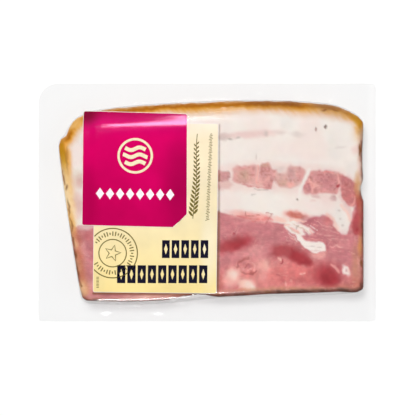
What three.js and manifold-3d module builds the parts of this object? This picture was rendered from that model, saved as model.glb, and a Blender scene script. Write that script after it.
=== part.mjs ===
// A vacuum-packed slab of smoked bacon, lying flat: a clear pouch drawn tight over the slab, with its
// sealed border all round, and a cream label with a magenta panel stuck on the top. Millimetres, +Z up,
// +Y towards the rind edge of the slab. The origin is the middle of the pouch's flat underside.
import * as THREE from "three";
import { mergeVertices } from "three/addons/utils/BufferGeometryUtils.js";
import Module from "manifold-3d";

const wasm = await Module();
wasm.setup();

// The pouch: two webs of film sealed together all round the slab
const POUCH_LENGTH = 190;
const POUCH_WIDTH = 134;
const SEAL_THICKNESS = 0.5;
const TRIMMED_CORNER = 11;
const SQUARE_CORNER = 2;

// The slab's section, measured over the film
const SLAB_HEIGHT = 17.5;
const RIND_SHOULDER = { inset: 14, drop: 5.2 };
const CUT_SHOULDER = { inset: 4, drop: 2.2 };
const WALL_BULGE = 0.8;
const FILM_FLARE = 3;

// The slab's outline from above: its corners, the crest of the rind and a dent in the right cut face
const LEFT_EAR = [-83.3, 33.5];
const EAR_ROOT = [-79.3, 37.8];
const LEFT_FOOT = [-70.2, -53.5];
const RIGHT_EDGE = 87.3;
const RIGHT_TOP = 44;
const RIGHT_FOOT = -47.5;
const LOWER_STEP = [-2, -53.6];
const RIND_CREST = 57.4;
const DENT = { middle: 7, half: 6.5, depth: 1.8 };

// The labels, each placed by its centre and turned a little, as it was stuck on by hand
const LABEL_THICKNESS = 0.3;
const LABEL_GAP = 0.3;
const LABEL_REACH_DOWN = 3.4;
const CREAM_LABEL = { centre: [-28.5, -2.8], width: 68.5, height: 94.7, corner: 1.2, turn: -0.65 };
const MAGENTA_PANEL = { centre: [-39.9, 18.4], width: 56.9, height: 62.3, corner: 1.2, turn: -1 };
const PANEL_CUT_CORNER = [7.6, 7.3];

// How finely the curves are divided
const OUTLINE_POINTS = 128;
const SHOULDER_STEPS = 6;
const FLARE_STEPS = 3;
const ARC_DIVISIONS = 8;

const SPINE_HALF_LENGTH = 30;
const lerp = THREE.MathUtils.lerp;

// From the left foot to the right one: the slab is deeper at the left, and steps in near its middle
function addLowerEdge(path) {
  path.quadraticCurveTo(-69.8, -56.2, -66.5, -56.2);
  path.bezierCurveTo(-45, -57.4, -20, -56.6, LOWER_STEP[0], LOWER_STEP[1]);
  path.bezierCurveTo(12, -52.3, 60, -52.4, 82, -50.4);
  path.quadraticCurveTo(RIGHT_EDGE, -50, RIGHT_EDGE, RIGHT_FOOT);
}

// Up the right cut face, past its shallow dent
function addRightEdge(path) {
  const { middle, half, depth } = DENT;
  const bottom = RIGHT_EDGE - depth;
  const below = middle - half / 2;
  const above = middle + half / 2;
  path.lineTo(RIGHT_EDGE, middle - half);
  path.bezierCurveTo(RIGHT_EDGE, below, bottom, below, bottom, middle);
  path.bezierCurveTo(bottom, above, RIGHT_EDGE, above, RIGHT_EDGE - 0.3, middle + half);
  path.bezierCurveTo(RIGHT_EDGE - 1.3, 30, RIGHT_EDGE, 36, RIGHT_EDGE - 0.1, RIGHT_TOP);
}

// Back over the rind, from the right corner to the root of the ear at the left
function addRindEdge(path) {
  path.bezierCurveTo(86.6, 48.4, 77.5, 53.4, 67.5, 55.2);
  path.bezierCurveTo(50, RIND_CREST, 20, RIND_CREST + 0.4, -4, 56.3);
  path.bezierCurveTo(-24, 55.6, -46, 54, -61.5, 51.6);
  path.bezierCurveTo(-71, 50.5, -77.5, 44.5, EAR_ROOT[0], EAR_ROOT[1]);
}

// Out to the small ear of skin, and down the slanting left cut face
function addLeftEdge(path) {
  path.bezierCurveTo(-80, 35.8, -82.6, 36.4, LEFT_EAR[0], LEFT_EAR[1]);
  path.bezierCurveTo(-81.4, 18, -78, -8, LEFT_FOOT[0], LEFT_FOOT[1]);
}

// The slab seen from above, as points running anticlockwise from its left foot
function slabOutline() {
  const path = new THREE.Path();
  path.moveTo(LEFT_FOOT[0], LEFT_FOOT[1]);
  addLowerEdge(path);
  addRightEdge(path);
  addRindEdge(path);
  addLeftEdge(path);
  const points = path.getSpacedPoints(OUTLINE_POINTS);
  points.pop();
  return points;
}

// Outward directions at the outline's points, each averaged over its neighbours
function outwardNormals(points) {
  const count = points.length;
  const raw = points.map((_, i) => {
    const along = points[(i + 1) % count].clone().sub(points[(i + count - 1) % count]).normalize();
    return new THREE.Vector2(along.y, -along.x);
  });
  return raw.map((normal, i) =>
    normal.clone().add(raw[(i + 1) % count]).add(raw[(i + count - 1) % count]).normalize(),
  );
}

// Directions from the outline's points to the slab's spine, along which no two ever cross
function inwardDirections(points) {
  return points.map((p) => {
    const nearest = THREE.MathUtils.clamp(p.x, -SPINE_HALF_LENGTH, SPINE_HALF_LENGTH);
    return new THREE.Vector2(nearest, 0).sub(p).normalize();
  });
}

// The wide soft shoulder lies under the rind, at the top and the upper left, and narrows elsewhere
function shoulderAt(normal) {
  const rind = THREE.MathUtils.smoothstep(normal.y - 0.35 * normal.x, 0.1, 0.85);
  return {
    inset: lerp(CUT_SHOULDER.inset, RIND_SHOULDER.inset, rind),
    drop: lerp(CUT_SHOULDER.drop, RIND_SHOULDER.drop, rind),
  };
}

// Rings from the foot of the film's flare up over the wall and the shoulder to the flat top
function bodyRings() {
  const points = slabOutline();
  const outward = outwardNormals(points);
  const inward = inwardDirections(points);
  const shoulders = outward.map(shoulderAt);
  const away = (i, distance, z) =>
    new THREE.Vector3(points[i].x + outward[i].x * distance, points[i].y + outward[i].y * distance, z);

  const rings = [points.map((_, i) => away(i, FILM_FLARE - WALL_BULGE, 0))];
  for (let step = 0; step <= FLARE_STEPS; step += 1) {
    const turn = (Math.PI / 2) * (step / FLARE_STEPS);
    const reach = FILM_FLARE * (1 - Math.sin(turn)) - WALL_BULGE;
    const z = SEAL_THICKNESS + FILM_FLARE * (1 - Math.cos(turn));
    rings.push(points.map((_, i) => away(i, reach, z)));
  }
  rings.push(points.map((_, i) => away(i, 0, (SLAB_HEIGHT - shoulders[i].drop + FILM_FLARE) / 2)));
  for (let step = 0; step <= SHOULDER_STEPS; step += 1) {
    const turn = (Math.PI / 2) * (step / SHOULDER_STEPS);
    rings.push(
      points.map((p, i) => {
        const inset = shoulders[i].inset * (1 - Math.cos(turn));
        const z = SLAB_HEIGHT - shoulders[i].drop * (1 - Math.sin(turn));
        return new THREE.Vector3(p.x + inward[i].x * inset, p.y + inward[i].y * inset, z);
      }),
    );
  }
  return rings;
}

// The triangles of a flat face whose outline is one ring
function faceTriangles(ring) {
  return THREE.ShapeUtils.triangulateShape(ring.map((v) => new THREE.Vector2(v.x, v.y)), []);
}

// One closed solid through a stack of rings, with a flat face at each end
function loft(rings) {
  const count = rings[0].length;
  const positions = rings.flat().flatMap((v) => [v.x, v.y, v.z]);
  const index = [];
  for (let level = 0; level < rings.length - 1; level += 1) {
    for (let i = 0; i < count; i += 1) {
      const a = level * count + i;
      const b = level * count + ((i + 1) % count);
      index.push(a, b, b + count, a, b + count, a + count);
    }
  }
  for (const [a, b, c] of faceTriangles(rings[0])) {
    index.push(c, b, a);
  }
  const top = (rings.length - 1) * count;
  for (const [a, b, c] of faceTriangles(rings.at(-1))) {
    index.push(top + a, top + b, top + c);
  }
  const geometry = new THREE.BufferGeometry();
  geometry.setAttribute("position", new THREE.Float32BufferAttribute(positions, 3));
  geometry.setIndex(index);
  return geometry;
}

// A rectangle about the origin with a radius of its own at each corner: lower left, lower right,
// upper right, upper left
function roundedRectangle(width, height, [lowerLeft, lowerRight, upperRight, upperLeft]) {
  const x = width / 2;
  const y = height / 2;
  const shape = new THREE.Shape();
  shape.moveTo(-x + lowerLeft, -y);
  shape.absarc(x - lowerRight, -y + lowerRight, lowerRight, -Math.PI / 2, 0);
  shape.absarc(x - upperRight, y - upperRight, upperRight, 0, Math.PI / 2);
  shape.absarc(-x + upperLeft, y - upperLeft, upperLeft, Math.PI / 2, Math.PI);
  shape.absarc(-x + lowerLeft, -y + lowerLeft, lowerLeft, Math.PI, 1.5 * Math.PI);
  return shape;
}

// The panel's outline, grown by a margin, with its lower right corner cut off at a slant
function panelShape(margin) {
  const x = MAGENTA_PANEL.width / 2 + margin;
  const y = MAGENTA_PANEL.height / 2 + margin;
  const r = MAGENTA_PANEL.corner;
  const shape = new THREE.Shape();
  shape.moveTo(-x + r, -y);
  shape.lineTo(x - PANEL_CUT_CORNER[0], -y);
  shape.lineTo(x, -y + PANEL_CUT_CORNER[1]);
  shape.absarc(x - r, y - r, r, 0, Math.PI / 2);
  shape.absarc(-x + r, y - r, r, Math.PI / 2, Math.PI);
  shape.absarc(-x + r, -y + r, r, Math.PI, 1.5 * Math.PI);
  return shape;
}

function extrude(shape, depth) {
  return new THREE.ExtrudeGeometry(shape, { depth, bevelEnabled: false, curveSegments: ARC_DIVISIONS });
}

function toSolid(geometry) {
  const bare = geometry.clone();
  bare.deleteAttribute("normal");
  bare.deleteAttribute("uv");
  const merged = mergeVertices(bare, 1e-4);
  return new wasm.Manifold(
    new wasm.Mesh({
      numProp: 3,
      vertProperties: merged.attributes.position.array,
      triVerts: new Uint32Array(merged.index.array),
    }),
  );
}

function toMesh(name, solid, material) {
  const { numProp, numVert, vertProperties, triVerts } = solid.getMesh();
  const positions = new Float32Array(numVert * 3);
  for (let i = 0; i < numVert; i += 1) {
    positions.set(vertProperties.subarray(i * numProp, i * numProp + 3), i * 3);
  }
  const geometry = new THREE.BufferGeometry();
  geometry.setAttribute("position", new THREE.BufferAttribute(positions, 3));
  geometry.setIndex(new THREE.BufferAttribute(triVerts, 1));
  geometry.computeVertexNormals();
  const mesh = new THREE.Mesh(geometry, material);
  mesh.name = name;
  return mesh;
}

// A prism on a label's outline, turned and moved to the label's place, from where the shoulder grows
// too steep for a label upwards
function labelPrism(shape, { centre, turn }) {
  const prism = extrude(shape, SLAB_HEIGHT);
  prism.rotateZ(THREE.MathUtils.degToRad(turn));
  prism.translate(centre[0], centre[1], SLAB_HEIGHT - LABEL_REACH_DOWN);
  return toSolid(prism);
}

// The part of a prism that lies just over the slab's film: a sheet that bends down with the shoulder
function layOnSlab(prism, body) {
  const upper = body.translate([0, 0, LABEL_GAP + LABEL_THICKNESS]);
  const lower = body.translate([0, 0, LABEL_GAP]);
  return prism.intersect(upper).subtract(lower);
}

function sealedPouch(body) {
  const corners = [SQUARE_CORNER, SQUARE_CORNER, SQUARE_CORNER, TRIMMED_CORNER];
  const border = extrude(roundedRectangle(POUCH_LENGTH, POUCH_WIDTH, corners), SEAL_THICKNESS);
  const film = new THREE.MeshStandardMaterial({ color: 0xe3a9a0, roughness: 0.15, metalness: 0 });
  return toMesh("sealed_pouch", body.add(toSolid(border)), film);
}

function magentaPanel(body) {
  const print = new THREE.MeshStandardMaterial({ color: 0xcc0058, roughness: 0.3, metalness: 0 });
  return toMesh("magenta_panel", layOnSlab(labelPrism(panelShape(0), MAGENTA_PANEL), body), print);
}

// The cream sheet stops a hair short of the panel that is set into it
function creamLabel(body) {
  const { width, height, corner } = CREAM_LABEL;
  const sheet = labelPrism(roundedRectangle(width, height, Array(4).fill(corner)), CREAM_LABEL);
  const recess = labelPrism(panelShape(LABEL_GAP), MAGENTA_PANEL);
  const print = new THREE.MeshStandardMaterial({ color: 0xf7e6a8, roughness: 0.45, metalness: 0 });
  return toMesh("cream_label", layOnSlab(sheet.subtract(recess), body), print);
}

const body = toSolid(loft(bodyRings()));
const pack = new THREE.Group();
pack.add(sealedPouch(body), creamLabel(body), magentaPanel(body));

export default pack;
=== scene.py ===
"""A vacuum-packed slab of smoked bacon with a two-colour label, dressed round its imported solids.

Sizes are named in millimetres, and MM turns them to metres where a mesh or a light is made. The
slab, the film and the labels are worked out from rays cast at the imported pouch.
"""

from __future__ import annotations

import logging
import math
from collections.abc import Iterator, Sequence
from contextlib import contextmanager
from dataclasses import dataclass, field
from enum import Enum

import bmesh
import bpy
import numpy as np
from mathutils import Matrix, Vector
from mathutils.bvhtree import BVHTree
from mathutils.kdtree import KDTree

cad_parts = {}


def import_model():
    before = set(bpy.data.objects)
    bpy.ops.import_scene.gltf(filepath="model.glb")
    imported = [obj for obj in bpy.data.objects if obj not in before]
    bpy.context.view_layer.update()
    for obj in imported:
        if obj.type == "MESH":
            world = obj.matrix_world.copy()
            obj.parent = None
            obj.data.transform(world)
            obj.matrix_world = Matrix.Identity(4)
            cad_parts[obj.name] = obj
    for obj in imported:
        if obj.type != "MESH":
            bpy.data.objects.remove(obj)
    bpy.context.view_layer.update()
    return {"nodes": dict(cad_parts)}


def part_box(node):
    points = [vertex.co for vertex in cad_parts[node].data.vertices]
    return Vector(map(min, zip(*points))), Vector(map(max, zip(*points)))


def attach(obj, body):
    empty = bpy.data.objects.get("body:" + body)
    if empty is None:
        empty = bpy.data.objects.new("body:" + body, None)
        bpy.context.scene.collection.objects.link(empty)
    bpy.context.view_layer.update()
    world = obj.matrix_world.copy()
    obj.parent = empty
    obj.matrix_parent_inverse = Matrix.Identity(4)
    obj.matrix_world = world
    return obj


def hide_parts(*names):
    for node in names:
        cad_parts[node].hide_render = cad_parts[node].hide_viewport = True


LOG = logging.getLogger("bacon_pack")
MM = 0.001
PHOTO_PX = 416
NOISE_CELLS = 64
NOISE_LOW, NOISE_HIGH = 0.3, 0.7

MIX_A, MIX_B, MIX_COLOUR = 6, 7, 2
SRGB_TOE, SRGB_TOE_SLOPE, SRGB_OFFSET, SRGB_GAMMA = 0.04045, 12.92, 0.055, 2.4

Socket = bpy.types.NodeSocket
Value = Socket | float | Sequence[float]


def hex_tone(hex_code: str) -> np.ndarray:
    """Turns six hex digits to red, green and blue from 0 to 1."""
    return np.array([int(hex_code[i : i + 2], 16) / 255 for i in (0, 2, 4)])


def to_linear(tone: np.ndarray) -> np.ndarray:
    """Turns sRGB values from 0 to 1 to linear light."""
    curve = ((tone + SRGB_OFFSET) / (1 + SRGB_OFFSET)) ** SRGB_GAMMA
    return np.where(tone <= SRGB_TOE, tone / SRGB_TOE_SLOPE, curve)


def srgb(hex_code: str) -> tuple[float, float, float, float]:
    """Turns an sRGB hex value to linear red, green and blue, and an alpha of 1."""
    red, green, blue = to_linear(hex_tone(hex_code)).tolist()
    return red, green, blue, 1.0


def smoothstep(value: np.ndarray | float, low: float, high: float) -> np.ndarray:
    """Rises smoothly from 0 at low to 1 at high.

    Args:
        value: Number or numbers to ease.
        low: Value at and below which the result is 0.
        high: Value at and above which the result is 1.

    Returns:
        The eased numbers.
    """
    t = np.clip((np.asarray(value, dtype=float) - low) / (high - low), 0.0, 1.0)
    return t * t * (3 - 2 * t)


def add_node(
    tree: bpy.types.NodeTree,
    kind: str,
    settings: dict[str, object] | None = None,
    inputs: dict[str | int, object] | None = None,
) -> bpy.types.Node:
    """Adds one node with its settings, values and links.

    Args:
        tree: Node tree that gets the node.
        kind: Blender's name for the node, such as "ShaderNodeMath".
        settings: Attributes of the node by name.
        inputs: For each input, by name or number, a value or the output that feeds it.

    Returns:
        The new node.
    """
    node = tree.nodes.new(kind)
    for name, value in (settings or {}).items():
        setattr(node, name, value)
    for name, value in (inputs or {}).items():
        if isinstance(value, bpy.types.NodeSocket):
            tree.links.new(value, node.inputs[name])
        else:
            node.inputs[name].default_value = value
    return node


class Finish:
    """One material's node tree, with the steps that the part's finishes share."""

    def __init__(self, name: str) -> None:
        """Starts the material with an empty tree.

        Args:
            name: Name of the material.
        """
        self.material = bpy.data.materials.new(name)
        self.material.use_nodes = True
        self.tree = self.material.node_tree
        self.tree.nodes.clear()

    def add(self, kind: str, settings: dict | None = None, inputs: dict | None = None) -> bpy.types.Node:
        """Adds one node to this material, as add_node does."""
        return add_node(self.tree, kind, settings, inputs)

    def scaled(self, vector: Value, factor: Value) -> Socket:
        """Multiplies a place or a colour by a number."""
        inputs = {0: vector, "Scale": factor}
        return self.add("ShaderNodeVectorMath", {"operation": "SCALE"}, inputs).outputs[0]

    def place(self) -> Socket:
        """Gives the place on the piece, in millimetres."""
        return self.scaled(self.add("ShaderNodeTexCoord").outputs["Object"], 1 / MM)

    def axis(self, place: Socket, name: str) -> Socket:
        """Picks one axis of a place."""
        return self.add("ShaderNodeSeparateXYZ", {}, {0: place}).outputs[name]

    def attribute(self, name: str, output: str = "Fac") -> Socket:
        """Reads what is stored on the piece's vertices under a name."""
        return self.add("ShaderNodeAttribute", {"attribute_name": name}).outputs[output]

    def maths(self, operation: str, *values: Value) -> Socket:
        """Works out one operation, by Blender's name for it, on numbers or outputs."""
        return self.add("ShaderNodeMath", {"operation": operation}, dict(enumerate(values))).outputs[0]

    def noise(self, place: Socket, grain_mm: float, detail: float, output: str = "Fac") -> Socket:
        """Adds noise with bumps of a real size.

        Args:
            place: Place on the piece, in millimetres.
            grain_mm: Size of the bumps.
            detail: How many finer layers of noise are added.
            output: "Fac" for one number, "Color" for three.

        Returns:
            The noise, from 0 to 1.
        """
        inputs = {"Vector": place, "Scale": 1 / grain_mm, "Detail": detail}
        return self.add("ShaderNodeTexNoise", {}, inputs).outputs[output]

    def ramp(
        self, value: Socket, start: tuple[float, float], end: tuple[float, float], way: str = "LINEAR"
    ) -> Socket:
        """Maps a value from one range to another.

        Args:
            value: Output that feeds the range.
            start: Value at the start of the range, and the result there.
            end: Value at its end, and the result there.
            way: Blender's name for the way of easing.

        Returns:
            The mapped value.
        """
        (low, to_low), (high, to_high) = start, end
        inputs = {"Value": value, "From Min": low, "From Max": high, "To Min": to_low, "To Max": to_high}
        return self.add("ShaderNodeMapRange", {"interpolation_type": way}, inputs).outputs["Result"]

    def blend(self, under: Value, over: Value, share: Value) -> Socket:
        """Lays one colour over another.

        Args:
            under: Colour or output below.
            over: Colour or output on top.
            share: How much of the top one shows, from 0 to 1.

        Returns:
            The mixed colour.
        """
        inputs = {"Factor": share, MIX_A: under, MIX_B: over}
        return self.add("ShaderNodeMix", {"data_type": "RGBA"}, inputs).outputs[MIX_COLOUR]

    def uneven(self, colour: Value, noise: Socket, darkest: float, lightest: float) -> Socket:
        """Multiplies a colour by a noise that runs between the two factors given."""
        return self.scaled(colour, self.ramp(noise, (NOISE_LOW, darkest), (NOISE_HIGH, lightest)))

    def bump(self, height: Socket, strength: float, depth_mm: float) -> Socket:
        """Turns a height from 0 to 1 to the normal of a fine relief of a real depth."""
        inputs = {"Strength": strength, "Distance": depth_mm * MM, "Height": height}
        return self.add("ShaderNodeBump", {}, inputs).outputs[0]

    def done(self, kind: str, inputs: dict) -> bpy.types.Material:
        """Adds the last shader and links it to the material's output.

        Args:
            kind: Blender's name for the shader's node.
            inputs: Its inputs by name or number.

        Returns:
            The finished material.
        """
        self.add("ShaderNodeOutputMaterial", {}, {"Surface": self.add(kind, {}, inputs).outputs[0]})
        return self.material


def deselect_all() -> None:
    """Leaves nothing selected, so that an operator acts only on what is selected next."""
    bpy.ops.object.select_all(action="DESELECT")


def select_only(piece: bpy.types.Object) -> None:
    """Selects one piece alone and makes it active."""
    deselect_all()
    piece.select_set(True)
    bpy.context.view_layer.objects.active = piece


@contextmanager
def editing(piece: bpy.types.Object) -> Iterator[bmesh.types.BMesh]:
    """Opens a piece alone in edit mode.

    Args:
        piece: Mesh object to edit.

    Yields:
        The edit mesh, which is written back at the end.
    """
    select_only(piece)
    bpy.ops.object.mode_set(mode="EDIT")
    try:
        yield bmesh.from_edit_mesh(piece.data)
    finally:
        bmesh.update_edit_mesh(piece.data)
        bpy.ops.object.mode_set(mode="OBJECT")


def apply_modifier(piece: bpy.types.Object, kind: str, **settings: object) -> None:
    """Adds a modifier to a piece and applies it.

    Args:
        piece: Mesh object.
        kind: Blender's name for the modifier, such as "SOLIDIFY".
        **settings: Attributes of the modifier by name.
    """
    select_only(piece)
    modifier = piece.modifiers.new(kind.lower(), kind)
    for name, value in settings.items():
        setattr(modifier, name, value)
    bpy.ops.object.modifier_apply(modifier=modifier.name)


def loft(name: str, rings: Sequence[np.ndarray]) -> bpy.types.Object:
    """Raises a closed body from a filled circle, extruded once for each further ring.

    Args:
        name: Name of the piece.
        rings: Rings of equally many points, in metres, from the underside up to the middle of the top.

    Returns:
        The new piece, with its faces pointing outwards.
    """
    deselect_all()
    bpy.ops.mesh.primitive_circle_add(vertices=len(rings[0]), radius=0.1, fill_type="NGON")
    body = bpy.context.object
    body.name = name
    with editing(body) as mesh:
        place = mesh.verts.layers.int.new("place")
        mesh.verts.ensure_lookup_table()
        for i, vertex in enumerate(mesh.verts):
            vertex[place] = i
            vertex.co = rings[0][i]
        bpy.ops.mesh.select_all(action="SELECT")
        for ring in rings[1:]:
            bpy.ops.mesh.extrude_region_move()
            mesh = bmesh.from_edit_mesh(body.data)
            place = mesh.verts.layers.int["place"]
            for vertex in mesh.verts:
                if vertex.select:
                    vertex.co = ring[vertex[place]]
        bpy.ops.mesh.select_all(action="SELECT")
        bpy.ops.mesh.normals_make_consistent(inside=False)
    body.data.attributes.remove(body.data.attributes["place"])
    return body


def vertex_places(piece: bpy.types.Object) -> np.ndarray:
    """Reads a piece's vertices.

    Args:
        piece: Mesh object that sits at the origin.

    Returns:
        One row of x, y and z for each vertex, in metres.
    """
    flat = np.empty(len(piece.data.vertices) * 3)
    piece.data.vertices.foreach_get("co", flat)
    return flat.reshape(-1, 3)


def move_vertices(piece: bpy.types.Object, places: np.ndarray) -> None:
    """Puts a piece's vertices at new places, one row of x, y and z in metres for each."""
    piece.data.vertices.foreach_set("co", places.ravel())
    piece.data.update()


def store_attribute(piece: bpy.types.Object, name: str, values: np.ndarray) -> None:
    """Stores one number on each vertex of a piece, for its material to read."""
    attribute = piece.data.attributes.new(name, "FLOAT", "POINT")
    attribute.data.foreach_set("value", values.astype(np.float32))


def noise_at(places: np.ndarray, grain_mm: float, seed: float) -> np.ndarray:
    """Smooth noise between about -1 and 1.

    Args:
        places: One row of x, y and z for each point, in metres.
        grain_mm: Size of the noise's bumps.
        seed: Shift that makes one pattern differ from another.

    Returns:
        One number for each point.
    """
    lattice = np.random.default_rng(round(seed * 10)).uniform(-0.9, 0.9, (NOISE_CELLS,) * 3)
    spot = places / (grain_mm * MM) + seed
    corner = np.floor(spot).astype(int)
    ease = smoothstep(spot - corner, 0, 1)
    total = np.zeros(len(places))
    for step in np.ndindex(2, 2, 2):
        i, j, k = ((corner + step) % NOISE_CELLS).T
        total += np.prod(np.where(step, ease, 1 - ease), axis=1) * lattice[i, j, k]
    return total


def finish_piece(piece: bpy.types.Object, material: bpy.types.Material, sharp_deg: float) -> None:
    """Smooths a piece, gives it its material and lets it ride on the part.

    Args:
        piece: Mesh object that sits at the origin.
        material: Its material.
        sharp_deg: Angle past which an edge stays sharp.
    """
    select_only(piece)
    bpy.ops.object.shade_smooth_by_angle(angle=math.radians(sharp_deg))
    piece.data.materials.clear()
    piece.data.materials.append(material)
    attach(piece, "root")
    LOG.info("%s: %d faces", piece.name, len(piece.data.polygons))


class PouchForm:
    """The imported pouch, probed by rays for its border, its wall and its top.

    The slanting rays aim at inner points, ANCHOR_INSET_MM inside the outline. SPINE_END is how far the
    line that the outline is moved in towards reaches from the middle, in metres.
    """

    OUTLINE_HEIGHT = 9 * MM
    ANCHOR_INSET_MM, ANCHOR_HEIGHT = 16, 8 * MM
    RAY_START, SLANTED_RAY_START, ABOVE = 0.3, 0.06, 0.1
    SPINE_END = 0.03

    def __init__(self, node: bpy.types.Object, outline_points: int = 720) -> None:
        """Reads the pouch's solid and divides its outline evenly.

        Args:
            node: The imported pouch.
            outline_points: How many points the outline is divided into.
        """
        triangles = [tuple(face.vertices) for face in node.data.polygons]
        self.tree = BVHTree.FromPolygons([v.co.copy() for v in node.data.vertices], triangles)
        self.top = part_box(node.name)[1][2]
        probe = np.linspace(0, 2 * math.pi, 4 * outline_points + 1)
        edge = self.ring_at(probe, self.OUTLINE_HEIGHT)
        steps = np.linalg.norm(np.diff(edge, axis=0), axis=1)
        along = np.concatenate(([0.0], np.cumsum(steps)))
        even = np.linspace(0, along[-1], outline_points, endpoint=False)
        self.angles = np.interp(even, along, probe)
        self.outline = self.ring_at(self.angles, self.OUTLINE_HEIGHT)[:, :2]
        ahead, behind = np.roll(self.outline, -1, axis=0), np.roll(self.outline, 1, axis=0)
        tangent = ahead - behind
        tangent /= np.linalg.norm(tangent, axis=1)[:, None]
        self.outward = np.column_stack((tangent[:, 1], -tangent[:, 0]))
        self.anchors = self.inner_points(self.ANCHOR_INSET_MM, self.ANCHOR_HEIGHT)

    def ring_at(self, angles: np.ndarray, z: float) -> np.ndarray:
        """Finds the pouch's outside at a height, by level rays towards its upright axis.

        Args:
            angles: Direction of each ray's start, in radians.
            z: Height, in metres.

        Returns:
            One row of x, y and z for each angle.
        """
        ring = []
        for angle in angles:
            way = Vector((math.cos(angle), math.sin(angle), 0))
            ring.append(self.tree.ray_cast(way * self.RAY_START + Vector((0, 0, z)), -way)[0])
        return np.array(ring)

    def height(self, x: float, y: float, missing: float) -> float:
        """Finds how high the pouch stands at a place.

        Args:
            x: Place along the pouch, in metres.
            y: Place across it, in metres.
            missing: Height to give where the pouch isn't.

        Returns:
            The height, in metres.
        """
        hit = self.tree.ray_cast(Vector((x, y, self.ABOVE)), Vector((0, 0, -1)))[0]
        return hit.z if hit is not None else missing

    def shoulder_ring(self, lift_deg: float) -> np.ndarray:
        """Finds the pouch's outside along rays that slant up from its inner points.

        Args:
            lift_deg: How steeply the rays come down, from 0 for level to 90 for upright.

        Returns:
            One row of x, y and z for each outline point.
        """
        lift = math.radians(lift_deg)
        ring = []
        for anchor, point in zip(self.anchors, self.outline):
            out = Vector((point[0] - anchor[0], point[1] - anchor[1], 0)).normalized()
            way = out * math.cos(lift) + Vector((0, 0, math.sin(lift)))
            ring.append(self.tree.ray_cast(Vector(anchor) + way * self.SLANTED_RAY_START, -way)[0])
        return np.array(ring)

    def inner_points(self, inset_mm: float, z: float) -> np.ndarray:
        """Moves the outline in towards the pouch's spine.

        Args:
            inset_mm: How far in.
            z: Height that the points get, in metres.

        Returns:
            One row of x, y and z for each outline point.
        """
        spine_x = np.clip(self.outline[:, 0], -self.SPINE_END, self.SPINE_END)
        way = np.column_stack((spine_x, np.zeros(len(spine_x)))) - self.outline
        way /= np.linalg.norm(way, axis=1)[:, None]
        moved = self.outline + way * inset_mm * MM
        return np.column_stack((moved, np.full(len(moved), z)))


class Tissue(Enum):
    """Tissues of a smoked pork belly, each with its sRGB colour where it is cut."""

    FAT = "F5EBE3"
    WARM_FAT = "F4DFD8"
    COOL_FAT = "EBE4DD"
    PINK_FAT = "F1D2CB"
    GREY_STREAK = "CFBDB6"
    PALE_STREAK = "EBCBC5"
    MUTED_STREAK = "C99B99"
    GREY_TAN = "C7A287"
    PINK_STREAK = "DDAEA7"
    STREAK = "E0A8A1"
    DEEP_STREAK = "DB9B98"
    FLANK = "CE7F7E"
    ROSE = "CF7F83"
    MAUVE = "C8787F"
    PLUM = "B8606C"
    SALMON = "EE8E88"
    CORAL = "DB706F"
    BLUSH = "F1AEA5"
    RED = "B2484C"
    DARK_MUSCLE = "A72E37"
    SOFT_FAT = "F8C8B9"
    WHITE_FAT = "F9EBE3"
    RUST = "BC5A4C"
    TAN = "D59C68"
    VEIN = "A95450"
    SPECK = "7C6A62"
    PALE_SKIN = "FFE2B0"
    GOLD_RIND = "E9AA4C"
    OLIVE_RIND = "BE8408"
    BROWN_RIND = "7E4A26"


@dataclass(frozen=True)
class Patch:
    """One soft-edged oval of tissue on the cut face.

    Args:
        at: Middle of the oval, in millimetres.
        size: Its two full widths, in millimetres.
        turn: How far it is turned anticlockwise, in degrees.
        tissue: What it is made of.
        strength: How much it covers what is under it, from 0 to 1.
        blur: Width of its soft edge as a share of its half width.
    """

    at: tuple[float, float]
    size: tuple[float, float]
    turn: float
    tissue: Tissue
    strength: float = 1.0
    blur: float = 0.35

    def share(self, x: np.ndarray, y: np.ndarray) -> np.ndarray:
        """Finds how far the oval covers each place, given in millimetres, from 0 to 1."""
        turn = math.radians(self.turn)
        dx, dy = x - self.at[0], y - self.at[1]
        along = (dx * math.cos(turn) + dy * math.sin(turn)) / (self.size[0] / 2)
        across = (dy * math.cos(turn) - dx * math.sin(turn)) / (self.size[1] / 2)
        return self.strength * smoothstep(-np.hypot(along, across), -1 - self.blur, -1 + self.blur)


@dataclass(frozen=True)
class Muscle:
    """One area of the cut face with corners, such as a block of lean.

    Args:
        corners: Its corners in order, in millimetres.
        tissue: What it is made of.
        strength: How much it covers what is under it, from 0 to 1.
        blur_mm: Width of its soft edge.
    """

    corners: tuple[tuple[float, float], ...]
    tissue: Tissue
    strength: float = 1.0
    blur_mm: float = 1.0

    def share(self, x: np.ndarray, y: np.ndarray) -> np.ndarray:
        """Finds how far the area covers each place, given in millimetres, from 0 to 1."""
        nearest = np.full(len(x), np.inf)
        inside = np.zeros(len(x), dtype=bool)
        for (ax, ay), (bx, by) in zip(self.corners, self.corners[1:] + self.corners[:1]):
            nearest = np.minimum(nearest, side_distance(x, y, (ax, ay), (bx, by))[0])
            if ay != by:
                crossed = (ay > y) != (by > y)
                inside ^= crossed & (x < ax + (y - ay) * (bx - ax) / (by - ay))
        depth = np.where(inside, nearest, -nearest)
        return self.strength * smoothstep(depth, -self.blur_mm / 2, self.blur_mm / 2)


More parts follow.
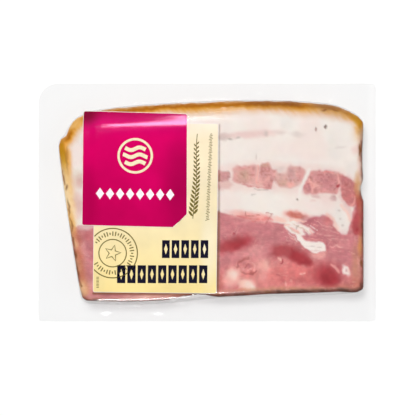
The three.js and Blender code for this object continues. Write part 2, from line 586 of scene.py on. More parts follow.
@dataclass(frozen=True)
class Vein:
    """One line of tissue on the cut face, such as a vein of fat.

    Args:
        points: For each point along it, its place and the vein's width there, in millimetres.
        tissue: What it is made of.
        strength: How much it covers what is under it, from 0 to 1.
        blur_mm: Width of its soft edge.
    """

    points: tuple[tuple[float, float, float], ...]
    tissue: Tissue
    strength: float = 1.0
    blur_mm: float = 0.7

    def share(self, x: np.ndarray, y: np.ndarray) -> np.ndarray:
        """Finds how far the vein covers each place, given in millimetres, from 0 to 1."""
        depth = np.full(len(x), -np.inf)
        for (ax, ay, a_wide), (bx, by, b_wide) in zip(self.points, self.points[1:]):
            away, along = side_distance(x, y, (ax, ay), (bx, by))
            depth = np.maximum(depth, (a_wide + (b_wide - a_wide) * along) / 2 - away)
        return self.strength * smoothstep(depth, -self.blur_mm / 2, self.blur_mm / 2)


def side_distance(
    x: np.ndarray, y: np.ndarray, start: tuple[float, float], end: tuple[float, float]
) -> tuple[np.ndarray, np.ndarray]:
    """Measures from places to a straight side.

    Args:
        x: The places along the part.
        y: The places across it.
        start: Where the side starts.
        end: Where it ends.

    Returns:
        The distance to the side, and how far along the side its nearest point is, from 0 to 1.
    """
    way_x, way_y = end[0] - start[0], end[1] - start[1]
    length = way_x * way_x + way_y * way_y
    along = np.clip(((x - start[0]) * way_x + (y - start[1]) * way_y) / length, 0.0, 1.0)
    return np.hypot(x - start[0] - along * way_x, y - start[1] - along * way_y), along


# Laid one over the other in this order: the muscles, then CUT_PATCHES, then WHITE_FOLDS.
MUSCLES = (
    Muscle(
        (
            (-90, 14), (6, 20.5), (28, 22.6), (56, 21.4), (74, 18.4), (84, 12), (84, -6), (74, 0),
            (53, 4), (34, 6), (-90, 7),
        ),
        Tissue.PINK_FAT, 0.6, 5.0,
    ),
    Muscle(
        ((-90, 13), (-60, 14.5), (-30, 16), (7, 18), (7, 8), (-30, 8.5), (-60, 9), (-90, 9.5)),
        Tissue.STREAK,
    ),
    Muscle(((6, 17.8), (12, 17.6), (12.9, 14), (11.6, 11.6), (6, 11.4)), Tissue.MUTED_STREAK, 0.95, 1.6),
    Muscle(((6, 12), (12.4, 12.2), (15, 10), (12, 7.6), (6, 7.2)), Tissue.PINK_STREAK, 0.6, 2.6),
    Muscle(
        (
            (14.2, 18.6), (17, 20.6), (22, 19.8), (27.4, 20.5), (27.9, 12.4), (25.5, 9.6), (18, 10.2),
            (14.2, 12.8),
        ),
        Tissue.STREAK, 0.95, 2.0,
    ),
    Muscle(
        (
            (28.8, 19.6), (31, 21.6), (34.6, 21.4), (36.4, 18.4), (38.6, 18.2), (38.6, 14), (36.9, 11.4),
            (36.4, 7.6), (31.5, 8), (28.9, 10.6), (28.5, 14),
        ),
        Tissue.DEEP_STREAK, 0.92, 1.8,
    ),
    Muscle(
        (
            (38, 16.4), (43.8, 16), (44.6, 19.2), (49, 19.9), (53.6, 19.2), (54.6, 15.8), (52.6, 12),
            (50.6, 9.2), (47.6, 7.8), (43.8, 8.4), (39.6, 9), (37.6, 12),
        ),
        Tissue.PINK_STREAK, 1, 2.2,
    ),
    Muscle(
        (
            (57.4, 17), (62, 17.6), (70, 17.2), (73.4, 15.8), (73.2, 7), (71.5, 4.4), (66, 5), (60, 4.8),
            (54, 5.4), (53.4, 9), (55.4, 12.4),
        ),
        Tissue.DEEP_STREAK, 1, 1.8,
    ),
    Muscle(
        (
            (73, 15.6), (76.5, 14.6), (80.5, 12.4), (83.4, 10), (84, 1), (80.6, -2.8), (77.8, -2.6),
            (75.2, 0.6), (74, 4.4),
        ),
        Tissue.FLANK, 1, 2.0,
    ),
    Muscle(
        (
            (-95, -13), (-74, -13.6), (-66, -12.5), (-40, -9), (0, -4.6), (6, -5), (14, -7.4), (24, -9.2),
            (31, -9.4), (36, -10.6), (42, -12), (52, -11.4), (55.4, -9.8), (60, -8), (63.5, -7.2),
            (66.5, -7), (68.4, -9), (70, -12.6), (74, -17.4), (77.6, -17.6), (79.2, -12), (80.4, -5),
            (82.4, 0.6), (95, 3), (95, -65), (-95, -65),
        ),
        Tissue.ROSE, 1, 1.4,
    ),
    Muscle(
        ((84, 4), (88, 3), (88, -19), (80.6, -18.5), (79.8, -14), (81.4, -8), (82.6, -2)),
        Tissue.RED, 0.92, 2.0,
    ),
    Patch((49.2, -6.9), (13.5, 5.6), -6, Tissue.BLUSH, 0.9, 0.5),
    Patch((49.4, -7.0), (10, 3.6), -8, Tissue.RUST, 0.85, 0.6),
)

WHITE_FOLDS = (
    Muscle(
        (
            (42.4, -13.2), (43.6, -11), (47, -10.4), (52, -11.8), (56, -14.4), (59.8, -16.6), (56, -18),
            (52, -18.6), (48, -17.6), (44, -15.6),
        ),
        Tissue.WHITE_FAT, 0.95, 1.6,
    ),
    Muscle(
        (
            (49, -17.4), (51.7, -18.4), (53.4, -21), (57.6, -21.8), (61, -21.4), (64.7, -22), (66.1, -24.1),
            (65.3, -27.1), (61, -27.9), (57.6, -27.4), (54.6, -25.9), (52, -22.9), (50, -20.4),
        ),
        Tissue.WHITE_FAT, 1, 1.0,
    ),
    Muscle(
        ((56.5, -27.8), (62, -28), (65.6, -27), (65, -30.2), (62, -31.2), (58.4, -30.4)),
        Tissue.BLUSH, 0.75, 1.6,
    ),
    Muscle(
        (
            (34.4, -28.6), (37, -24), (41.6, -22.8), (50, -24.6), (55.4, -28.2), (58.4, -32.9), (57, -34.8),
            (51.6, -34.6), (46.4, -32), (42, -30.4), (38, -30),
        ),
        Tissue.RED, 0.92, 4.6,
    ),
    Muscle(
        ((47, -25.4), (53.6, -28.2), (58.4, -33), (56.6, -35), (51, -34.2), (46, -31.2)),
        Tissue.DARK_MUSCLE, 0.85, 3.4,
    ),
    Patch((67.6, -40.6), (14, 13.4), 20, Tissue.DARK_MUSCLE, 0.75, 0.6),
    Patch((68.2, -41.4), (8.4, 9.6), 20, Tissue.DARK_MUSCLE, 0.9, 0.6),
    Vein(((68.8, -33.8, 0.8), (71.6, -35.6, 1.3), (73.6, -38.6, 0.8)), Tissue.BLUSH, 0.7),
    Vein(
        ((56.8, 18, 1.8), (55.2, 14.6, 1.6), (53.2, 10.4, 1.7), (52, 7, 2.0), (51.4, 2, 1.2)),
        Tissue.FAT, 0.85, 1.4,
    ),
    Vein(((28.3, 20.5, 1.2), (28.1, 15, 0.8), (27.6, 11, 1.2)), Tissue.BLUSH, 0.8, 0.9),
    Vein(((37.2, 10.2, 0.8), (37.8, 8, 1.6)), Tissue.PINK_FAT, 0.8),
    Vein(((57, 12.8, 1.2), (58.6, 9, 2.4), (58, 6.2, 1.4)), Tissue.BLUSH, 0.85, 1.2),
    Vein(((72.6, 15.2, 0.9), (72.8, 11.4, 1.1), (72.4, 9.6, 0.6)), Tissue.BLUSH, 0.8),
    Vein(
        ((73.4, 7.4, 0.8), (73.2, 3.4, 1.4), (76, -1, 1.8), (78.8, -4.8, 2.2), (79.8, -9, 1.2)),
        Tissue.PALE_STREAK, 0.85, 1.2,
    ),
    Vein(((79.6, -2.6, 0.8), (81.4, 0.4, 0.8), (82.2, 3.4, 0.5)), Tissue.BLUSH, 0.7),
    Vein(((64, 16.9, 0.6), (70, 16.5, 0.7)), Tissue.SALMON, 0.7),
    Vein(((20, 9.8, 0.6), (27, 8.6, 0.9), (35.6, 7.7, 1.0)), Tissue.FLANK, 0.6),
    Vein(((26, 7.4, 0.4), (28.6, 6.5, 0.5), (33.6, 7, 0.3)), Tissue.SPECK, 0.35),
    Vein(((24.6, 4.2, 0.5), (26.4, 4.6, 0.4)), Tissue.SPECK, 0.3),
    Vein(((21.4, -4.9, 0.4), (21.2, -7.2, 0.4), (25.4, -6.9, 0.4), (29, -6.4, 0.4)), Tissue.VEIN, 0.5, 0.5),
    Vein(((32.6, -5.8, 0.5), (36.4, -6.2, 0.4)), Tissue.VEIN, 0.5, 0.5),
    Vein(((32.4, -11.6, 0.5), (34, -9, 0.5), (35.8, -6.8, 0.4)), Tissue.VEIN, 0.55, 0.5),
    Vein(((24.2, -8.4, 0.4), (25.6, -10.4, 0.8), (27.8, -8.6, 0.4)), Tissue.CORAL, 0.6, 0.5),
    Vein(((14, -7, 0.4), (20.6, -8.8, 0.5), (27, -9.8, 0.4)), Tissue.RED, 0.35, 0.5),
    Vein(((16.6, -7.6, 0.6), (22, -8.3, 1.6), (25, -8.6, 0.7), (28.6, -9, 1.7)), Tissue.CORAL, 0.6, 1.2),
    Vein(((30.4, -9.2, 1.0), (33, -8.8, 1.8), (36.6, -9.6, 0.8)), Tissue.CORAL, 0.6, 1.2),
    Vein(((46, -9.8, 1.0), (50, -10, 1.3), (55, -10.6, 0.8)), Tissue.SOFT_FAT, 0.85),
    Vein(((43.4, -12.6, 1.6), (46, -12.2, 1.2)), Tissue.SOFT_FAT, 0.8, 0.9),
    Vein(((47, -14.4, 0.8), (49.4, -15.6, 1.4), (50.6, -17.4, 0.8)), Tissue.BLUSH, 0.75, 0.9),
    Vein(((50.4, -12.6, 0.5), (49.4, -14.2, 0.9)), Tissue.SPECK, 0.35, 0.7),
    Vein(((52.8, -15.6, 0.5), (54.6, -17.4, 1.2), (55.4, -18.8, 1.4)), Tissue.MAUVE, 0.6, 0.9),
    Vein(((56.4, -15.6, 0.5), (58.4, -17.2, 1.0)), Tissue.BLUSH, 0.7, 0.7),
    Vein(((50.6, -18.4, 2.0), (52.2, -20.6, 2.2)), Tissue.WHITE_FAT, 0.8, 1.4),
    Vein(((45.2, -13.6, 0.5), (48, -15.8, 0.5), (51.4, -17.6, 0.4)), Tissue.GREY_TAN, 0.4, 0.5),
    Vein(((48, -12.2, 0.4), (52.6, -14.8, 0.5), (56.8, -17.2, 0.4)), Tissue.GREY_TAN, 0.55, 0.5),
    Vein(((55.4, -12.6, 0.5), (58.6, -14.2, 0.6), (61.4, -15.2, 0.4)), Tissue.WHITE_FAT, 0.8, 0.5),
    Vein(((57.4, -11.4, 0.4), (60.4, -12.6, 0.5), (62.6, -13.4, 0.3)), Tissue.BLUSH, 0.7, 0.5),
    Vein(((60, -9.8, 0.5), (64, -12.4, 0.5), (69.4, -13.8, 0.4)), Tissue.SOFT_FAT, 0.45, 0.6),
    Vein(((64, -14.6, 0.4), (68.4, -15.4, 0.4), (72.6, -17.2, 0.4)), Tissue.SOFT_FAT, 0.45, 0.6),
    Vein(((45.4, -17.2, 0.4), (48.4, -19.6, 0.5), (50, -21.8, 0.4)), Tissue.WHITE_FAT, 0.7, 0.5),
    Vein(((44, -16, 0.4), (46.6, -19.6, 0.5), (48.6, -21, 0.4)), Tissue.BLUSH, 0.7, 0.5),
    Vein(((55.2, -24.4, 0.4), (59.6, -24.8, 0.4), (63.6, -25, 0.4)), Tissue.GREY_STREAK, 0.7, 0.5),
    Vein(((57.4, -26.6, 0.4), (62.8, -26.8, 0.5)), Tissue.PALE_STREAK, 0.8, 0.5),
    Vein(((54.6, -18.6, 1.0), (59, -19.6, 1.6), (66, -19, 1.2)), Tissue.PLUM, 0.35, 1.4),
    Vein(((66.6, -22, 0.6), (67, -25, 0.7)), Tissue.PLUM, 0.5),
    Vein(((66.5, -20.8, 0.4), (70, -20.1, 0.6), (76, -20.9, 0.3)), Tissue.SOFT_FAT, 0.5, 0.6),
    Vein(((68.8, -24.4, 0.5), (72, -23.9, 0.7), (75.6, -25.3, 0.4)), Tissue.SOFT_FAT, 0.6, 0.6),
    Vein(((70.4, -26.4, 0.4), (74.4, -26.9, 0.5)), Tissue.SOFT_FAT, 0.45, 0.6),
    Vein(((78.4, -27.2, 0.4), (82, -28.4, 0.6)), Tissue.SOFT_FAT, 0.5, 0.6),
    Vein(((61, -17.6, 0.4), (66, -18.1, 0.6), (71, -18.9, 0.4)), Tissue.SOFT_FAT, 0.5, 0.6),
    Vein(((56, -19.8, 0.4), (60, -20.4, 0.5), (64, -20.2, 0.3)), Tissue.BLUSH, 0.6, 0.6),
    Vein(((51.8, -39.8, 0.6), (54, -39.2, 0.9)), Tissue.SOFT_FAT, 0.8),
    Vein(((38.4, -40.2, 0.5), (40.6, -40.1, 0.6)), Tissue.RED, 0.6),
    Vein(((39.4, -30.4, 0.8), (40.6, -32, 1.2)), Tissue.SOFT_FAT, 0.7),
    Vein(((41.6, -31.6, 0.6), (41.6, -33.4, 0.9), (40.4, -34, 0.4)), Tissue.DARK_MUSCLE, 0.7, 0.5),
    Vein(((17, -36.4, 0.7), (17.8, -33, 0.9), (19.8, -31.4, 1.2), (22.8, -30.6, 1.1)), Tissue.VEIN, 0.85, 1),
    Vein(((18.4, -38, 0.6), (21, -40, 0.9), (25, -39.8, 0.9), (27.2, -37.6, 0.6)), Tissue.VEIN, 0.8, 0.8),
    Vein(((20.4, -36.4, 0.5), (22, -34.4, 0.8), (24, -34, 0.5)), Tissue.VEIN, 0.75, 0.6),
    Vein(((22, -37.6, 0.5), (24.4, -36.6, 0.6)), Tissue.SOFT_FAT, 0.6, 0.6),
    Vein(((66.4, -6.2, 1.0), (69.6, -9.6, 1.6), (72.4, -15, 1.4)), Tissue.SOFT_FAT, 0.6, 1.2),
    Vein(((74.4, -1.6, 1.0), (77.6, -6, 1.7), (79.4, -10.4, 1.4)), Tissue.SOFT_FAT, 0.7, 1.2),
    Vein(((24.6, -33, 0.4), (26.6, -35.4, 0.6), (25.6, -38, 0.4)), Tissue.SOFT_FAT, 0.5, 0.8),
    Patch((77.4, -37.8), (7, 3.4), -56, Tissue.WHITE_FAT, 0.9, 0.4),
    Vein(((78.6, -36.4, 0.6), (79, -38.8, 0.8)), Tissue.SOFT_FAT, 0.7),
    Vein(((77.4, -37.2, 0.5), (77.9, -38.4, 0.5)), Tissue.PLUM, 0.7, 0.5),
)

# Painted shadows of the labels' right and bottom edges: dark lines laid on the slab's top beside them.
LABEL_EDGE_SHADOWS = (
    Vein(((6.9, 43, 0.6), (6.6, 0, 0.9), (6.3, -20, 1.6), (5.7, -50, 1.8)), Tissue.SPECK, 0.5, 0.9),
    Vein(((6.7, 16, 1.0), (6.7, 12, 1.0)), Tissue.BROWN_RIND, 0.5, 0.9),
    Vein(((6.5, -5, 1.0), (5.7, -50, 1.4)), Tissue.BROWN_RIND, 0.5, 0.9),
    Vein(((-63, -50.5, 1.2), (-20, -50.8, 1.4), (5.5, -50.9, 2.2)), Tissue.BROWN_RIND, 0.75, 0.8),
)

CUT_PATCHES = (
    Patch((9, 36.2), (9, 3.4), 3, Tissue.GREY_STREAK, 0.85, 0.7),
    Patch((24, 37.7), (28, 4), 4, Tissue.PALE_STREAK, 0.85, 0.7),
    Patch((32.4, 38.2), (2.4, 2.8), 0, Tissue.GREY_STREAK, 0.7, 0.8),
    Patch((50, 37.6), (7, 2.8), -4, Tissue.GREY_STREAK, 0.4, 0.8),
    Patch((41, 38.4), (6, 1.6), 0, Tissue.GREY_STREAK, 0.3, 0.8),
    Patch((27.2, 25), (0.9, 3), 0, Tissue.GREY_STREAK, 0.6, 0.8),
    Patch((73.5, 30.4), (5, 0.8), 6, Tissue.GREY_STREAK, 0.4, 0.9),
    Patch((82.5, 29), (4, 5), 0, Tissue.PINK_FAT, 0.8, 0.8),
    Patch((-72, 13), (16, 14), 60, Tissue.FAT, 1.0, 0.3),
    Patch((-71, 13), (7, 8), 12, Tissue.GREY_TAN, 0.45, 0.8),
    Patch((-70.6, 11.4), (6, 6), 12, Tissue.PINK_STREAK, 0.7, 0.8),
    Patch((-71.5, -1), (6, 11), 12, Tissue.PINK_STREAK, 0.85, 0.8),
    Patch((-72, -7), (4, 4), 0, Tissue.PINK_FAT, 0.8, 0.8),
    Patch((9, 15), (5, 4), 0, Tissue.MAUVE, 0.35, 0.9),
    Patch((19.4, 19), (5, 2.6), 0, Tissue.MAUVE, 0.45, 0.8),
    Patch((25.4, 17), (4, 6), 0, Tissue.DEEP_STREAK, 0.55, 0.8),
    Patch((20.4, 15), (6, 6), 0, Tissue.GREY_TAN, 0.6, 0.9),
    Patch((17, 13.5), (5, 4), 0, Tissue.DEEP_STREAK, 0.4, 0.9),
    Patch((33.8, 15.4), (2.8, 5), 0, Tissue.BLUSH, 0.45, 0.8),
    Patch((32.4, 20.4), (4.4, 1.8), 0, Tissue.GREY_TAN, 0.6, 0.8),
    Patch((34, 10), (5, 3), 0, Tissue.FLANK, 0.4, 0.9),
    Patch((46.6, 15.8), (3.8, 8.4), 0, Tissue.MUTED_STREAK, 0.85, 0.6),
    Patch((51.6, 15.4), (4.6, 6), 0, Tissue.DEEP_STREAK, 0.9, 0.6),
    Patch((42, 11.2), (4.4, 3), 0, Tissue.GREY_TAN, 0.55, 0.9),
    Patch((46, 10.2), (4.4, 3), 0, Tissue.BLUSH, 0.8, 0.7),
    Patch((55.8, 8.6), (5, 6.6), 20, Tissue.MAUVE, 0.6, 0.8),
    Patch((66, 12), (13, 9), -6, Tissue.MAUVE, 0.5, 0.7),
    Patch((28.2, 10.4), (5, 3.2), 0, Tissue.STREAK, 0.9, 0.6),
    Patch((40.6, 18.4), (5, 3), 0, Tissue.GREY_STREAK, 0.35, 0.9),
    Patch((60.5, -10), (13, 5), 6, Tissue.PLUM, 0.45, 0.8),
    Patch((72.4, 8.8), (1.9, 1.9), 0, Tissue.DARK_MUSCLE, 0.85, 0.7),
    Patch((77, 13), (6, 3.4), -12, Tissue.MAUVE, 0.5, 0.9),
    Patch((77.6, 2), (4, 7), 20, Tissue.RED, 0.3, 0.9),
    Patch((60.2, 3.6), (4.2, 1.8), -12, Tissue.MUTED_STREAK, 0.7, 0.6),
    Patch((58.8, 0.8), (3, 1.4), 10, Tissue.PINK_STREAK, 0.6, 0.7),
    Patch((69.8, 2.4), (3.4, 2.8), 20, Tissue.MUTED_STREAK, 0.9, 0.6),
    Patch((66, 1), (10, 5), -30, Tissue.PINK_FAT, 0.6, 0.8),
    Patch((62, -2), (30, 9), -8, Tissue.WARM_FAT, 0.6, 0.8),
    Patch((74, -9), (4, 12), 22, Tissue.COOL_FAT, 0.7, 0.8),
    Patch((73.2, -5), (1.2, 1), 0, Tissue.GREY_STREAK, 0.8, 0.8),
    Patch((75, -12.4), (1.4, 1.2), 0, Tissue.GREY_STREAK, 0.8, 0.8),
    Patch((73.6, -9.4), (0.9, 0.9), 0, Tissue.GREY_STREAK, 0.8, 0.8),
    Patch((25, -7.6), (25, 5), -7, Tissue.BLUSH, 0.85, 0.6),
    Patch((26, -7), (10, 3), -4, Tissue.SALMON, 0.4, 0.9),
    Patch((41, -9.6), (7, 3), -16, Tissue.SOFT_FAT, 0.8, 0.7),
    Patch((20, -14), (34, 8), -6, Tissue.MAUVE, 0.45, 0.9),
    Patch((38, -17), (16, 7), -20, Tissue.MAUVE, 0.35, 0.9),
    Patch((61, -12), (16, 7), -8, Tissue.MAUVE, 0.7, 0.7),
    Patch((57.8, -9.6), (6, 2.4), 20, Tissue.PLUM, 0.5, 0.8),
    Patch((67, -9.6), (4, 5), 0, Tissue.CORAL, 0.5, 0.9),
    Patch((84.2, 1.6), (4.6, 9), 8, Tissue.RUST, 0.7, 0.6),
    Patch((83.4, -15.4), (1.6, 2), 0, Tissue.DARK_MUSCLE, 0.7, 0.8),
    Patch((72, -20), (20, 8), 0, Tissue.MAUVE, 0.4, 0.8),
    Patch((9, -18), (8, 3), 0, Tissue.MAUVE, 0.6, 0.9),
    Patch((15.4, -22.8), (19, 7.4), 17, Tissue.DARK_MUSCLE, 0.8, 0.7),
    Patch((17, -22.4), (12, 4.4), 17, Tissue.DARK_MUSCLE, 0.8, 0.7),
    Patch((9, -25.4), (9, 4), 5, Tissue.RED, 0.7, 0.8),
    Patch((15, -16.9), (1.3, 1.2), 0, Tissue.DARK_MUSCLE, 0.7, 0.7),
    Patch((45, -21), (12, 5), -40, Tissue.MAUVE, 0.5, 0.9),
    Patch((35, -41), (60, 17), 3, Tissue.SALMON, 0.8, 0.6),
    Patch((48, -39.6), (32, 13), 0, Tissue.CORAL, 0.65, 0.9),
    Patch((59.6, -39), (9, 11), 0, Tissue.RED, 0.5, 0.9),
    Patch((42, -43), (3, 5), 10, Tissue.RED, 0.35, 0.9),
    Patch((51.5, -43.6), (6, 3.4), 0, Tissue.RED, 0.35, 0.9),
    Patch((26, -27.5), (11, 5), 20, Tissue.BLUSH, 0.45, 0.9),
    Patch((43.6, -45), (1.4, 2.8), 0, Tissue.SOFT_FAT, 0.6, 0.8),
    Patch((47, -43.6), (1.2, 2), 0, Tissue.SOFT_FAT, 0.5, 0.8),
    Patch((30.6, -35), (9, 7.6), 0, Tissue.BLUSH, 0.8, 0.8),
    Patch((32.6, -34.6), (3, 5), 0, Tissue.SOFT_FAT, 0.5, 0.9),
    Patch((30.4, -41.4), (6, 4.4), 0, Tissue.BLUSH, 0.6, 0.9),
    Patch((14.2, -40.4), (7.8, 7.6), 0, Tissue.SOFT_FAT, 1, 0.5),
    Patch((15, -39.6), (3.6, 3.6), 0, Tissue.WHITE_FAT, 0.5, 0.9),
    Patch((11.6, -44), (6, 5), -20, Tissue.BLUSH, 0.8, 0.7),
    Patch((21.8, -45.6), (10, 6.4), -14, Tissue.SOFT_FAT, 1, 0.5),
    Patch((23.6, -45.8), (5, 3.4), -14, Tissue.WHITE_FAT, 0.5, 0.9),
    Patch((25.6, -48.2), (3, 3.6), 0, Tissue.WHITE_FAT, 0.85, 0.6),
    Patch((16, -47), (3, 2), 20, Tissue.CORAL, 0.5, 0.8),
    Patch((22.7, -35.3), (7, 7), 0, Tissue.FLANK, 0.5, 0.8),
    Patch((22.6, -35.2), (2.4, 2.2), 20, Tissue.PLUM, 0.85, 0.8),
    Patch((24.6, -39.2), (2.8, 1.8), 10, Tissue.VEIN, 0.7, 0.8),
    Patch((79, -29), (15, 14), 0, Tissue.MAUVE, 0.5, 0.9),
    Patch((82.6, -36), (4, 22), 0, Tissue.TAN, 0.45, 0.9),
    Patch((80, -45), (14, 7), 0, Tissue.RUST, 0.35, 0.9),
    Patch((45, -48.6), (60, 2.4), 1, Tissue.TAN, 0.6, 0.9),
    Patch((7, -46), (4, 12), 0, Tissue.RUST, 0.5, 0.9),
    Patch((-67, -13.6), (9, 3), 8, Tissue.PALE_STREAK, 0.8, 0.8),
    Patch((-69, -19), (9, 5), 0, Tissue.RED, 0.55, 0.8),
    Patch((-71.5, -32), (5, 24), 8, Tissue.RUST, 0.6, 0.9),
    Patch((-66, -28), (6, 14), 10, Tissue.PLUM, 0.45, 0.9),
    Patch((-66, -39), (4, 9), 8, Tissue.PLUM, 0.7, 0.9),
    Patch((-68.4, -47), (6, 9), 20, Tissue.TAN, 0.5, 0.9),
    Patch((-35, -53.2), (40, 3), 1, Tissue.SOFT_FAT, 0.75, 0.9),
    Patch((-53, -52.2), (19, 3.2), 0, Tissue.PLUM, 0.8, 0.8),
    Patch((-9, -51.6), (30, 2.4), 0, Tissue.RUST, 0.7, 0.8),
    Patch((60.4, 40), (1.2, 1.8), 0, Tissue.SPECK, 0.95, 0.6),
    Patch((66, 41.9), (1.8, 1.5), 30, Tissue.SPECK, 0.95, 0.6),
    Patch((49.9, 1.6), (1.2, 1.6), 0, Tissue.SPECK, 0.85, 0.6),
    Patch((13, 34.8), (2.2, 1), 0, Tissue.SPECK, 0.4, 0.9),
    Patch((17.4, 35.4), (2.6, 0.9), 0, Tissue.SPECK, 0.35, 0.9),
)

RIND_MARKS: tuple[Patch | Vein, ...] = (
    Patch((-78.2, 26), (4.4, 18), 9, Tissue.GOLD_RIND, 0.9, 0.8),
    Patch((-80.7, 27.4), (4, 16), 10, Tissue.OLIVE_RIND, 0.9, 0.6),
    Patch((-83, 26.5), (1.6, 9), 10, Tissue.PALE_SKIN, 0.8, 0.6),
    Patch((-78.2, 22), (1, 12), 8, Tissue.BROWN_RIND, 0.4, 0.9),
    Patch((-77.6, 2), (6, 34), 8, Tissue.PALE_SKIN, 0.9, 0.7),
    Patch((-75.6, -10), (3, 14), 12, Tissue.GOLD_RIND, 0.6, 0.9),
    Patch((-77.6, 8.6), (1, 3), 0, Tissue.BROWN_RIND, 0.7, 0.8),
    Patch((-76.6, -5), (0.9, 5), 8, Tissue.BROWN_RIND, 0.6, 0.8),
    Patch((-73.4, 44.2), (17, 5), 42, Tissue.GOLD_RIND, 0.75, 0.9),
    Patch((-72.4, 43.2), (8, 3), 42, Tissue.PALE_SKIN, 0.4, 0.9),
    Vein(((-83.4, 30, 0.4), (-82.6, 25, 0.8), (-81.6, 21, 0.5)), Tissue.BROWN_RIND, 0.45, 0.9),
    Vein(((-77.4, 30.6, 0.6), (-77.8, 27.6, 1.0), (-77.6, 24, 0.6)), Tissue.BROWN_RIND, 0.35, 1.0),
    Vein(((-80.4, 17, 0.4), (-79.4, 12.6, 0.9), (-78.8, 10, 0.4)), Tissue.BROWN_RIND, 0.6, 0.8),
    Vein(((-77.4, 2, 0.4), (-76.8, -1.6, 0.9), (-76.4, -3, 0.4)), Tissue.BROWN_RIND, 0.6, 0.8),
    Vein(((-75.8, -9, 0.4), (-75, -13.6, 1.0), (-74.6, -16, 0.4)), Tissue.BROWN_RIND, 0.6, 0.8),
    Patch((-72.2, -34.4), (3.6, 9), 10, Tissue.PALE_SKIN, 0.35, 0.9),
    Patch((-72.9, -23), (2.4, 5), 10, Tissue.PALE_SKIN, 0.5, 0.9),
    Patch((-69.6, -47.6), (4.6, 7), 16, Tissue.PALE_SKIN, 0.6, 0.9),
    Vein(((-74.3, -19, 0.4), (-73.8, -22, 1.0), (-73.5, -24.4, 0.4)), Tissue.BROWN_RIND, 0.7, 0.7),
    Vein(((-73.3, -27.4, 0.5), (-72.9, -29.6, 1.0), (-72.6, -31.2, 0.4)), Tissue.BROWN_RIND, 0.7, 0.7),
    Vein(((-72, -35.6, 0.4), (-71.4, -39, 1.0), (-71, -41, 0.4)), Tissue.BROWN_RIND, 0.7, 0.7),
    Vein(((-70.4, -44.4, 0.4), (-69.8, -46.6, 0.9)), Tissue.BROWN_RIND, 0.6, 0.7),
    Patch((84.9, -24), (2.2, 9), 0, Tissue.GOLD_RIND, 0.5, 0.9),
    Vein(((85.5, -30, 0.5), (85.4, -33, 1.2), (85.5, -35.4, 0.5)), Tissue.BROWN_RIND, 0.85, 0.7),
    Patch((83.4, 46), (3.4, 10), 40, Tissue.OLIVE_RIND, 0.7, 0.8),
    Patch((69, 51), (27, 7), -15, Tissue.GREY_TAN, 0.5, 0.9),
    Patch((40, 53.4), (30, 4), -2, Tissue.BROWN_RIND, 0.22, 0.9),
    Patch((68, 53), (13, 2.6), -10, Tissue.BROWN_RIND, 0.45, 0.9),
    Patch((65, 51.4), (2.6, 1.2), 0, Tissue.BROWN_RIND, 0.7, 0.8),
    Patch((71, 50.8), (4, 1), -14, Tissue.BROWN_RIND, 0.6, 0.8),
    Patch((84.9, 28.6), (1.4, 6), 0, Tissue.BROWN_RIND, 0.9, 0.7),
    Patch((83.4, 10), (3, 11), 0, Tissue.TAN, 0.75, 0.8),
    Patch((33.6, -49.8), (3, 1.6), 0, Tissue.BROWN_RIND, 0.8, 0.8),
)


